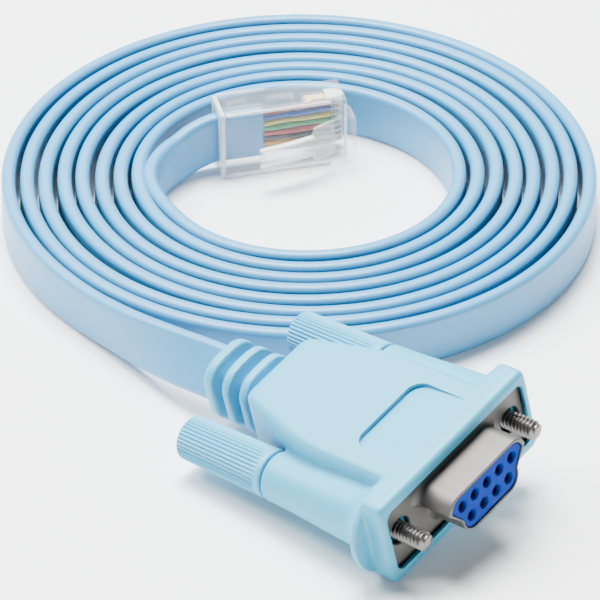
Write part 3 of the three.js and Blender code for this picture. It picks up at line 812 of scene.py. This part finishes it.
def hood_body(sizes):
    """Rounded rectangles along x. Their half width runs straight from the rear to the shoulder and stays."""
    rear_round, into_flange = 1.9, 1.5
    arc = np.linspace(0, np.pi / 2, 8)
    stations = np.concatenate([
        sizes.rear_x + rear_round * (1 - np.cos(arc)),
        np.linspace(sizes.rear_x + rear_round + 0.4, sizes.flange_rear_x + into_flange, 70),
    ])
    before = np.clip(sizes.rear_x + rear_round - stations, 0, None)
    bite = rear_round - np.sqrt(np.clip(rear_round**2 - before**2, 0, None))
    blend, softness = 1.1, 0.35
    share = (stations - sizes.rear_x) / (sizes.shoulder_x - sizes.rear_x)
    straight = sizes.rear_width / 2 + (sizes.body_width - sizes.rear_width) / 2 * share
    past = (straight - sizes.body_width / 2) / blend
    half_width = sizes.body_width / 2 - blend * softness * np.log1p(np.exp(-past / softness))
    half_height = np.full_like(stations, sizes.height / 2)
    outline = rounded_rectangle(half_width - bite, half_height - bite, sizes.edge + 0 * stations, 8, 2)
    return sweep("hood_body", along_x(stations, outline))


def hood_flange(sizes):
    corner, end_round = 1.3, 0.7
    stations, bite = rounded_ends(sizes.flange_rear_x, sizes.rim_x, end_round)
    half_width, half_height = sizes.flange_width / 2 - bite, sizes.height / 2 - bite
    outline = rounded_rectangle(half_width, half_height, corner - bite * 0.5, 8, 2)
    return sweep("hood_flange", along_x(stations, outline))


def hood_boss(sizes, y):
    """A turned boss: it widens slowly, then flares into the flange as a quarter circle."""
    stations = np.concatenate([
        [sizes.boss_rear_x, sizes.boss_rear_x + 0.02, sizes.boss_rear_x + 0.35],
        np.linspace(sizes.boss_rear_x + 1.0, sizes.flange_rear_x + 1.0, 40),
    ])
    rear_radius, widening, flare_length, flare, below_top = 3.75, 0.95, 3.4, 2.3, 0.25
    widened = rear_radius + widening * rising(stations, sizes.boss_rear_x, sizes.flange_rear_x)
    t = np.clip((stations - (sizes.flange_rear_x - flare_length)) / flare_length, 0, 1)
    radii = widened + flare * (1 - np.sqrt(1 - t**2))
    radii[:2] -= [0.35, 0.3]
    return turned("hood_boss", stations, np.minimum(radii, sizes.height / 2 - below_top), (y, 0.0))


def strain_relief(sizes):
    """A rounded square along x with three deep slots, which leave two ribs along its underside."""
    length, pitch, slot_width, depth, end_round = 10.4, 3.25, 1.5, 2.3, 0.9
    half_width, half_height, corner = 5.1, 5.4, 3.6
    rear = sizes.rear_x - length
    stations = np.linspace(rear, sizes.rear_x + 2.5, 190)
    outline = rounded_rectangle(half_width, half_height, corner, 16, 10)
    around = np.roll(outline, -1, axis=0) - np.roll(outline, 1, axis=0)
    outward = np.stack([around[:, 1], -around[:, 0]], axis=-1)
    outward /= np.linalg.norm(outward, axis=1)[:, None]
    slotted = np.zeros(len(stations))
    for slot in range(3):
        off = np.abs(stations - (sizes.rear_x - 0.25 - slot * pitch - slot_width / 2))
        slotted = np.maximum(slotted, 1 - rising(off, slot_width / 2 - 0.16, slot_width / 2 + 0.22))
    # A slot is deep round the top and the sides, and shallower between the two ribs below
    rib_inside, rib_outside, shallower = (1.8, 2.4), (-4.1, -3.3), 0.55
    sides = rising(outline[:, 1], *rib_outside)
    below = shallower * (1 - rising(np.abs(outline[:, 0]), *rib_inside)) * (outline[:, 1] < 0)
    reach = depth * slotted[:, None] * np.maximum(sides, below)[None, :]
    near_end = np.clip((stations - rear) / end_round, 0, 1)
    reach = reach + (end_round * (1 - np.sqrt(1 - (1 - near_end) ** 2)))[:, None]
    section = outline[None, :, :] - outward[None, :, :] * reach[:, :, None]
    return sweep("strain_relief", along_x(stations, section))


def hood_cutters(sizes, shell):
    """What is cut from the hood: room for the plate and the insulator, and the screws' ways."""
    gap, way_radius, scoop_radius = 0.3, 1.72, 4.05
    seat = rounded_rectangle(shell.plate_width / 2 + gap, shell.plate_height / 2 + gap, 1.5, 5)
    opening = rounded_rectangle(15.1, 5.4, 1.3, 8)
    tail = rounded_rectangle(9.5, 5.0, 1.5, 5)
    cutters = [
        sweep("seat", along_x([-shell.plate_thickness - gap, gap], seat)),
        sweep("opening", along_x([0.0, sizes.rim_x + 1], opening)),
        sweep("tail", along_x([-4.8, 0.0], tail)),
    ]
    for y in (-sizes.screw_spacing / 2, sizes.screw_spacing / 2):
        cutters.append(turned("way", [sizes.boss_rear_x - 1, 0.0], [way_radius] * 2, (y, 0.0), 32))
        cutters.append(turned("scoop", [-40.0, sizes.boss_rear_x], [scoop_radius] * 2, (y, 0.0)))
    return cutters


def label_recess(sizes):
    """A shallow wedge with round rear corners: deep at its rear edge, run out at its front."""
    rear, front, half, depth, corner = -11.3, -2.0, 7.3, 0.75, 2.3
    arc = np.linspace(0, np.pi / 2, 8)
    near = np.stack([rear + corner - corner * np.sin(arc), -half + corner - corner * np.cos(arc)], axis=-1)
    far = np.stack([rear + corner - corner * np.cos(arc), half - corner + corner * np.sin(arc)], axis=-1)
    outline = np.concatenate([[[front + 3, -half]], near, far, [[front + 3, half]]])
    floor = sizes.height / 2 - depth * (front - outline[:, 0]) / (front - rear)
    low = np.concatenate([outline, floor[:, None]], axis=-1)
    high = np.concatenate([outline, np.full((len(outline), 1), sizes.height / 2 + 1.5)], axis=-1)
    return sweep("recess", np.stack([low, high]))


class CONSOLE_OT_hood(bpy.types.Operator):
    """The moulded hood of the D connector, with its flange, bosses and strain relief"""

    bl_idname = "console.hood"
    bl_label = "Moulded Hood"

    def execute(self, context):
        sizes = context.scene.console_hood
        half = sizes.screw_spacing / 2
        hood = hood_body(sizes)
        parts = [hood_flange(sizes), hood_boss(sizes, -half), hood_boss(sizes, half), strain_relief(sizes)]
        fused(hood, parts)
        cut(hood, hood_cutters(sizes, context.scene.console_shell))
        melt = hood.modifiers.new("melt", "REMESH")
        melt.mode = "VOXEL"
        melt.voxel_size = sizes.voxel
        melt.use_smooth_shade = True
        ease = hood.modifiers.new("ease", "SMOOTH")
        ease.factor = 0.5
        ease.iterations = 2
        apply_modifiers(hood)
        cut(hood, [label_recess(sizes)])
        set_down(hood, CONNECTOR)
        hood.name = "moulded_hood"
        hood.data.shade_smooth()
        hood.data.set_sharp_from_angle(angle=math.radians(38))
        dressed(hood, hood_material("hood_plastic", sizes.colour), "hood_plastic", "root", "connector_hood")
        return {"FINISHED"}


# The steel front and the insulator


def d_outline(sizes, inset, corner_points=12):
    """The D outline, wide side up, drawn in by an inset: four tangent arcs, with slanted sides between."""
    slant = 10
    slope = math.tan(math.radians(slant))
    half_height = sizes.height / 2 - inset
    top = sizes.width / 2 - inset / math.cos(math.radians(slant)) - inset * slope
    bottom = top - 2 * half_height * slope
    radius = sizes.corner - inset
    corners = [
        ((bottom, -half_height), -90, slant), ((top, half_height), slant, 90),
        ((-top, half_height), 90, 180 - slant), ((-bottom, -half_height), 180 - slant, 270),
    ]
    points = []
    for (y, z), start, end in corners:
        start_in = np.array([math.cos(math.radians(start)), math.sin(math.radians(start))])
        end_in = np.array([math.cos(math.radians(end)), math.sin(math.radians(end))])
        # The arc's centre lies a radius inside both flats that meet at the corner
        centre = np.array([y, z]) + np.linalg.solve(np.stack([start_in, end_in]), [-radius, -radius])
        angle = np.radians(np.linspace(start, end, corner_points))
        points.append(centre + radius * np.stack([np.cos(angle), np.sin(angle)], axis=-1))
    return np.concatenate(points)


def shell_tube(sizes):
    """A wall carried round the D: out of the plate by a round foot, up, over a round lip and back inside."""
    foot, lip = 0.95, 0.22
    arc = np.linspace(0, np.pi / 2, 9)
    outer = [(sizes.reach - lip + lip * math.sin(a), lip * (1 - math.cos(a))) for a in arc]
    inner = [(sizes.reach - lip + lip * math.cos(a), sizes.wall - lip * (1 - math.sin(a))) for a in arc]
    stations = [(-0.4, -foot)]
    stations += [(foot * (1 - math.cos(a)), -foot * (1 - math.sin(a))) for a in arc]
    stations += [(foot + (sizes.reach - lip - foot) * t, 0.0) for t in (0.33, 0.66)]
    stations += outer + inner
    stations += [(-sizes.plate_thickness + 0.02, sizes.wall)]
    outlines = np.stack([d_outline(sizes, inset) for x, inset in stations])
    return sweep("shell_tube", along_x([x for x, inset in stations], outlines), closed=True)


class CONSOLE_OT_shell(bpy.types.Operator):
    """The pressed steel plate with its D shell"""

    bl_idname = "console.shell"
    bl_label = "Steel Front"

    def execute(self, context):
        sizes = context.scene.console_shell
        spacing = context.scene.console_hood.screw_spacing
        stations, bite = rounded_ends(-sizes.plate_thickness, 0.0, 0.12, 4)
        outline = rounded_rectangle(
            sizes.plate_width / 2 - bite, sizes.plate_height / 2 - bite, sizes.plate_corner - bite, 8, 4,
        )
        plate = sweep("steel_front", along_x(stations, outline))
        inside = sweep("inside", along_x([-2.0, 2.0], d_outline(sizes, sizes.wall)))
        hole_radii = [sizes.hole_radius, sizes.hole_radius, sizes.hole_radius + 0.15, 3.2]
        holes = [
            turned("hole", [-2.0, -0.2, 0.01, 1.0], hole_radii, (y, 0.0), 48)
            for y in (-spacing / 2, spacing / 2)
        ]
        fused(plate, [shell_tube(sizes)])
        cut(plate, [inside, *holes])
        set_down(plate, CONNECTOR)
        smooth(plate, 32.0)
        material = steel_material("plated_steel", (0.15, 0.145, 0.137), 0.52, (60.0, 900.0, 60.0))
        dressed(plate, material, "plated_steel", "root", "connector_shell")
        return {"FINISHED"}


def contact_places():
    """Where the nine contacts stand in y and z: five on the wide row and four below."""
    pitch, rows = 2.77, 2.84
    top = [((i - 2) * pitch, rows / 2) for i in range(5)]
    bottom = [((i - 1.5) * pitch, -rows / 2) for i in range(4)]
    return top + bottom


class CONSOLE_OT_insulator(bpy.types.Operator):
    """The blue insulator with its nine countersunk contact holes"""

    bl_idname = "console.insulator"
    bl_label = "Insulator"

    def execute(self, context):
        sizes = context.scene.console_shell
        face, gap, edge = sizes.reach - 0.2, 0.08, 0.18
        arc = np.linspace(0, np.pi / 2, 5)
        stations = [(-1.2, 0.0), *((face - edge + edge * math.sin(a), edge * (1 - math.cos(a))) for a in arc)]
        outlines = [d_outline(sizes, sizes.wall + gap + bite) for x, bite in stations]
        block = sweep("insulator", along_x([x for x, bite in stations], np.stack(outlines)))
        tail = rounded_rectangle(9.2, 4.7, 1.2, 6)
        fused(block, [sweep("tail", along_x([-4.5, -1.1], tail))])
        bore = [-5.0, face - 1.1, face - 1.1, face - 0.3, face - 0.12, face + 0.02, face + 0.5]
        radii = [1.05, 1.05, 0.72, 0.72, 0.86, 0.97, 1.3]
        cutters = [turned("bore", bore, radii, place, 32) for place in contact_places()]
        cut(block, cutters)
        # Painted shade down the contact holes: it starts 0.14 mm below the face and is full from 0.64 mm below it
        # on
        points = np.zeros(len(block.data.vertices) * 3, np.float32)
        block.data.vertices.foreach_get("co", points)
        bore_shade = block.data.attributes.new("bore_shade", "FLOAT", "POINT")
        bore_shade.data.foreach_set("value", np.clip((face - 0.14 - points[::3]) / 0.5, 0, 1).astype(np.float32))
        set_down(block, CONNECTOR)
        smooth(block, 40.0)
        material = insulator_material(sizes.insulator)
        dressed(block, material, "insulator_plastic", "root", "connector_insulator")
        gold = gold_material()
        for number in range(1, 10):
            coloured(frame["nodes"][f"socket_contact_{number}"], gold)
        return {"FINISHED"}


# Thumbscrews


def knob(name, sizes, y):
    """A tapered cylinder with n ribs: its radius falls by depth (1 - |sin(n a / 2)|^1.4) between them."""
    arc = np.linspace(0, np.pi / 2, 8)
    rear_round, front_round = 0.45, 0.3
    rear = sizes.knob_rear_x + rear_round * (1 - np.cos(arc))
    front = sizes.knob_front_x - front_round * (1 - np.cos(arc[::-1]))
    stations = np.concatenate([rear, np.linspace(rear[-1] + 0.3, front[0] - 0.2, 30), front])
    drawn_in = 1 - np.sin(arc)
    bite = np.concatenate([rear_round * drawn_in, np.zeros(30), front_round * drawn_in[::-1]])
    share = (stations - sizes.knob_rear_x) / (sizes.knob_front_x - sizes.knob_rear_x)
    radius = sizes.rear_radius + (sizes.front_radius - sizes.rear_radius) * share - bite
    angle = circle(sizes.ribs * 8)
    valley = np.abs(np.sin(sizes.ribs * angle / 2)) ** 1.4
    run_out = rising(stations, sizes.knob_rear_x - 0.1, sizes.knob_rear_x + 0.4)
    run_out *= 1 - rising(stations, sizes.knob_front_x - 1.3, sizes.knob_front_x - 0.9)
    r = radius[:, None] - sizes.rib_depth * run_out[:, None] * (1 - valley)[None, :]
    return sweep(name, round_rings(stations[:, None], r, angle, y))


def shank(name, sizes, y):
    """A screw: its radius falls with the phase x / pitch - a / 2 pi, in front of where the thread starts."""
    thread_start = -8.0
    stations = np.linspace(sizes.shank_rear_x, sizes.tip_x, 900)
    stations = stations[(stations > thread_start) | (np.arange(900) % 40 == 0)]
    angle = circle(40)
    phase = (stations[:, None] / sizes.thread_pitch - angle[None, :] / (2 * np.pi)) % 1.0
    flank = np.clip(np.abs(phase - 0.5) * 2.8 - 0.2, 0, 1)
    threaded = rising(stations, thread_start, thread_start + 1.0)
    taper = 0.6 * rising(stations, sizes.tip_x - 0.55, sizes.tip_x) ** 1.5
    r = sizes.thread_radius - taper[:, None] - sizes.thread_depth * flank * threaded[:, None]
    return sweep(name, round_rings(stations[:, None], r, angle, y))


class CONSOLE_OT_thumbscrews(bpy.types.Operator):
    """Two thumbscrews, each a ribbed knob on a threaded steel shank"""

    bl_idname = "console.thumbscrews"
    bl_label = "Thumbscrews"

    def execute(self, context):
        sizes = context.scene.console_screws
        hood = context.scene.console_hood
        plastic = hood_material("knob_plastic", shaded(hood.colour, 1.04))
        steel = steel_material("screw_steel", (0.18, 0.175, 0.17), 0.28, (300.0, 60.0, 60.0))
        for side, y in (("near", -hood.screw_spacing / 2), ("far", hood.screw_spacing / 2)):
            body = f"thumbscrew_{side}"
            grip = set_down(knob(f"ribbed_knob_{side}", sizes, y), CONNECTOR)
            dressed(smooth(grip, 70.0), plastic, "hood_plastic", body, f"thumbscrew_knob_{side}")
            screw = set_down(shank(f"threaded_shank_{side}", sizes, y), CONNECTOR)
            dressed(smooth(screw, 50.0), steel, "screw_steel", body, f"thumbscrew_shank_{side}")
        return {"FINISHED"}


# The plug


PLUG_CREASE = 35.0
WIRE_COLOURS = {
    "grey": (0.42, 0.43, 0.42), "orange": (0.80, 0.36, 0.03), "black": (0.02, 0.02, 0.022),
    "red": (0.52, 0.025, 0.03), "green": (0.04, 0.35, 0.09), "yellow": (0.66, 0.55, 0.08),
    "blue": (0.02, 0.10, 0.42), "brown": (0.26, 0.06, 0.025),
}


def plug_block(name, x0, x1, low, high, radius, end_round=0.0):
    """A rounded block between two stations, from its lowest to its highest corner in y and z."""
    low, high = np.array(low), np.array(high)
    stations, bite = np.array([x0, x1]), np.zeros(2)
    if end_round:
        stations, bite = rounded_ends(x0, x1, end_round, 5)
    half = (high - low) / 2
    outline = rounded_rectangle(half[0] - bite, half[1] - bite, np.maximum(radius - bite * 0.5, 0.02), 5)
    return sweep(name, along_x(stations, outline + (low + high) / 2))


def wire_height(sizes, number, pitch):
    """How high a wire or a contact stands, from 0 to 7, about the plug's middle."""
    return sizes.width / 2 + (number - 3.5) * pitch


def cable_room(name, sizes, x0, x1, half_y, half_z):
    """A block about the middle of the cable in the plug."""
    middle = np.array([sizes.jacket_y, sizes.width / 2])
    half = np.array([half_y, half_z])
    return plug_block(name, x0, x1, middle - half, middle + half, 0.3)


def jacket_room(sizes):
    return cable_room("jacket_room", sizes, -1.0, 7.5, 1.4, 4.5)


def plug_rooms(sizes):
    """What is cut from the clear body: room for the cable, and two pockets in its contact face."""
    middle = sizes.width / 2
    return [
        jacket_room(sizes),
        cable_room("wire_room", sizes, 7.3, 18.8, 0.62, 4.2),
        plug_block("clamp_pocket", 8.6, 12.9, (4.8, middle - 4.4), (8.0, middle + 4.4), 0.3),
        plug_block("rear_pocket", 2.4, 5.4, (5.3, middle - 4.4), (8.0, middle + 4.4), 0.3),
    ]


def clear_body(sizes):
    """The clear body: the block that carries its latch, its rooms, and the slots of its contacts."""
    body = plug_block("clear_body", 0.74, sizes.body_length, (0, 0), (sizes.depth, sizes.width), 0.45, 0.3)
    middle = sizes.width / 2
    root = plug_block("root", 18.1, 21.4, (-1.45, middle - 3.0), (3.0, middle + 3.0), 0.4, 0.35)
    fused(body, [root])
    heights = wire_height(sizes, np.arange(8), sizes.blade_pitch)
    slots = [plug_block("slot", 14.3, 22.0, (3.62, z - 0.33), (8.0, z + 0.33), 0.1) for z in heights]
    return cut(body, plug_rooms(sizes) + slots)


def clear_edges(sizes):
    """The body's thick edges, made less clear so that they stand whitish as a painted highlight where clear
    plastic catches the light: the lip of its mouth and its long ledges.
    """
    depth, width = sizes.depth, sizes.width
    lip = plug_block("mouth_lip", 0.0, 0.72, (0, 0), (depth, width), 0.5, 0.2)
    cut(lip, [jacket_room(sizes)])
    back_low, back_high = (depth - 0.35, width - 0.35), (depth + 0.03, width + 0.03)
    ledges = [
        plug_block("low_ledge", 0.76, 17.6, (-0.04, 0.0), (0.5, 0.6), 0.2, 0.15),
        plug_block("high_ledge", 0.76, 17.6, (-0.04, width - 0.45), (0.4, width + 0.03), 0.18, 0.15),
        plug_block("back_ledge", 0.76, 8.4, back_low, back_high, 0.16, 0.12),
        plug_block("nose_ledge", 19.85, 20.25, (0.3, 1.2), (0.7, width - 1.2), 0.15, 0.1),
    ]
    return [lip, joined("body_ledges", ledges)]


def nose_teeth(sizes):
    """Nine tapered teeth between the contacts, on the nose."""
    stations = np.array([17.9, 18.0, 19.6, 20.3, 20.6])
    half_y = np.array([1.32, 1.4, 1.3, 0.95, 0.7])
    half_z = np.array([0.14, 0.17, 0.17, 0.13, 0.08])
    outline = rounded_rectangle(half_y, half_z, half_z * 0.9, 4)
    heights = wire_height(sizes, np.arange(9) - 0.5, sizes.blade_pitch)
    teeth = [sweep("nose_teeth", along_x(stations, outline + np.array([5.0, z]))) for z in heights]
    return fused(teeth[0], teeth[1:])


def latch_band(name, path, half_width, half_thickness, middle):
    """A rounded strip along a path in x and y: each ring is the path plus p across it, and q up."""
    path = np.asarray(path, float)
    tangent = np.gradient(path, axis=0)
    tangent /= np.linalg.norm(tangent, axis=1)[:, None]
    across = np.stack([-tangent[:, 1], tangent[:, 0]], axis=-1)
    end = np.minimum(np.arange(len(path)), np.arange(len(path))[::-1])
    bite = 0.1 * np.clip(1 - end / 3, 0, 1) ** 2
    corner = np.minimum(half_width, 0.5) * 0.5
    section = rounded_rectangle(half_thickness - bite, half_width - bite, corner, 5)
    flat = path[:, None, :] + section[..., :1] * across[:, None, :]
    return sweep(name, np.concatenate([flat, middle + section[..., 1:]], axis=-1))


def clear_latch(sizes):
    """The latch, wide as far as its shoulders and then a narrow, bowed lever, and the lever's thick edges."""
    t = np.linspace(0, 1, 24)[:, None]
    root, shoulder, free = np.array([17.75, -0.85]), np.array([14.2, -2.55]), np.array([5.15, -4.5])
    wide = root * (1 - t) + shoulder * t
    lever = shoulder * (1 - t) + free * t + np.array([0.0, -0.25]) * (4 * t * (1 - t))
    path = np.concatenate([wide[:-1], lever])
    half_width = 2.98 - 1.36 * rising(np.arange(len(path)), len(wide) - 3, len(wide))
    middle = sizes.width / 2
    edges = [latch_band("edge", lever, np.full(len(lever), 0.16), 0.49, middle + z) for z in (-1.5, 1.5)]
    return [latch_band("clear_latch", path, half_width, 0.47, middle), joined("latch_edges", edges)]


def insulated_wire(name, sizes, number):
    """A round wire: its pitch opens from the jacket to the contacts, and it sways a little on the way."""
    jacket_pitch = 0.93
    x = np.linspace(sizes.jacket_end - 0.5, sizes.wire_end, 40)[:, None]
    pitch = jacket_pitch + (sizes.blade_pitch - jacket_pitch) * rising(x, 7.5, 12.0)
    sway = 0.05 * np.sin(x * 0.9 + 2.1 * number) * (1 - rising(x, 13.0, 16.0))
    z = wire_height(sizes, number, pitch) + sway
    y = sizes.jacket_y + 0.07 * np.sin(x * 0.7 + 1.3 * number)
    end = np.clip((sizes.wire_end - x) / 0.4, 0, 1)
    radius = sizes.wire_radius * np.sqrt(np.clip(1 - 0.75 * (1 - end) ** 2, 0, 1))
    return sweep(name, round_rings(x, radius, circle(20), y, z))


def contact_blade(name, z):
    """A thin plate with two teeth at its foot: one outline at four heights, drawn in at both faces."""
    outline = np.array([
        (14.75, 5.95), (14.7, 4.35), (15.2, 3.95), (15.7, 4.5), (17.6, 4.5), (18.1, 3.95),
        (18.6, 4.4), (19.1, 4.8), (19.15, 5.7), (18.9, 5.98),
    ])
    centre = outline.mean(axis=0)
    drawn_in = np.array([0.95, 1.0, 1.0, 0.95])[:, None, None]
    flat = centre + (outline - centre)[None] * drawn_in
    height = np.broadcast_to((z + np.array([-0.18, -0.14, 0.14, 0.18]))[:, None, None], flat.shape[:2] + (1,))
    return sweep(name, np.concatenate([flat, height], axis=-1))


class CONSOLE_OT_plug(bpy.types.Operator):
    """The clear plug with its latch, contacts and wires"""

    bl_idname = "console.plug"
    bl_label = "Modular Plug"

    def execute(self, context):
        sizes = context.scene.console_plug
        clear = clear_material("clear_plastic", sizes.clarity)
        # Painted highlight: the edge pieces, the teeth and the latch's edges are less clear, so they stand whitish
        edge = clear_material("clear_edge_painted_highlight", sizes.clarity - 0.5)
        latch = clear_material("clear_latch", sizes.clarity - 0.14)
        gold = gold_material()
        for thing, material, body, node in (
            (clear_body(sizes), clear, "root", "plug_body"),
            *((ledge, edge, "root", "plug_body") for ledge in clear_edges(sizes)),
            (nose_teeth(sizes), edge, "root", "plug_body"),
            *zip(clear_latch(sizes), (latch, edge), ("latch", "latch"), ("plug_latch", "plug_latch")),
        ):
            set_down(thing, PLUG)
            dressed(smooth(thing, PLUG_CREASE), material, "clear_plastic", body, node)
        for number, (name, colour) in enumerate(WIRE_COLOURS.items()):
            wire = set_down(insulated_wire(f"{name}_wire", sizes, number), PLUG)
            material = glossy_material(f"wire_{name}", colour, 700.0, 0.24, 0.12)
            dressed(smooth(wire, 60.0), material, f"wire_{name}", "root", f"wire_{number + 1}")
            height = wire_height(sizes, number, sizes.blade_pitch)
            blade = set_down(contact_blade(f"contact_blade_{number + 1}", height), PLUG)
            dressed(smooth(blade, 30.0), gold, "gold_plating", "root", f"plug_contact_{number + 1}")
        return {"FINISHED"}


class CONSOLE_PT_panel(bpy.types.Panel):
    """The sidebar list of the cable's pieces"""

    bl_idname = "CONSOLE_PT_panel"
    bl_label = "Console Cable"
    bl_space_type = "VIEW_3D"
    bl_region_type = "UI"
    bl_category = "Cable"

    def draw(self, context):
        for maker in MAKERS:
            self.layout.operator(maker.bl_idname)
        for group in SIZE_GROUPS:
            sizes = getattr(context.scene, group)
            box = self.layout.box()
            for name in sizes.bl_rna.properties.keys():
                if name not in {"rna_type", "name"}:
                    box.prop(sizes, name)


SIZE_GROUPS = {
    "console_cable": CableSizes,
    "console_hood": HoodSizes,
    "console_screws": ScrewSizes,
    "console_shell": ShellSizes,
    "console_plug": PlugSizes,
}
MAKERS = (
    CONSOLE_OT_stage,
    CONSOLE_OT_cable,
    CONSOLE_OT_hood,
    CONSOLE_OT_shell,
    CONSOLE_OT_insulator,
    CONSOLE_OT_thumbscrews,
    CONSOLE_OT_plug,
)


def register():
    for kind in (*SIZE_GROUPS.values(), *MAKERS, CONSOLE_PT_panel):
        bpy.utils.register_class(kind)
    for group, kind in SIZE_GROUPS.items():
        setattr(bpy.types.Scene, group, PointerProperty(type=kind))


def unregister():
    for group in SIZE_GROUPS:
        delattr(bpy.types.Scene, group)
    for kind in (CONSOLE_PT_panel, *reversed(MAKERS), *SIZE_GROUPS.values()):
        bpy.utils.unregister_class(kind)


def main():
    register()
    bpy.ops.console.stage()
    bpy.ops.console.plug()
    bpy.ops.console.cable()
    bpy.ops.console.hood()
    bpy.ops.console.shell()
    bpy.ops.console.insulator()
    bpy.ops.console.thumbscrews()


if __name__ == "__main__":
    main()
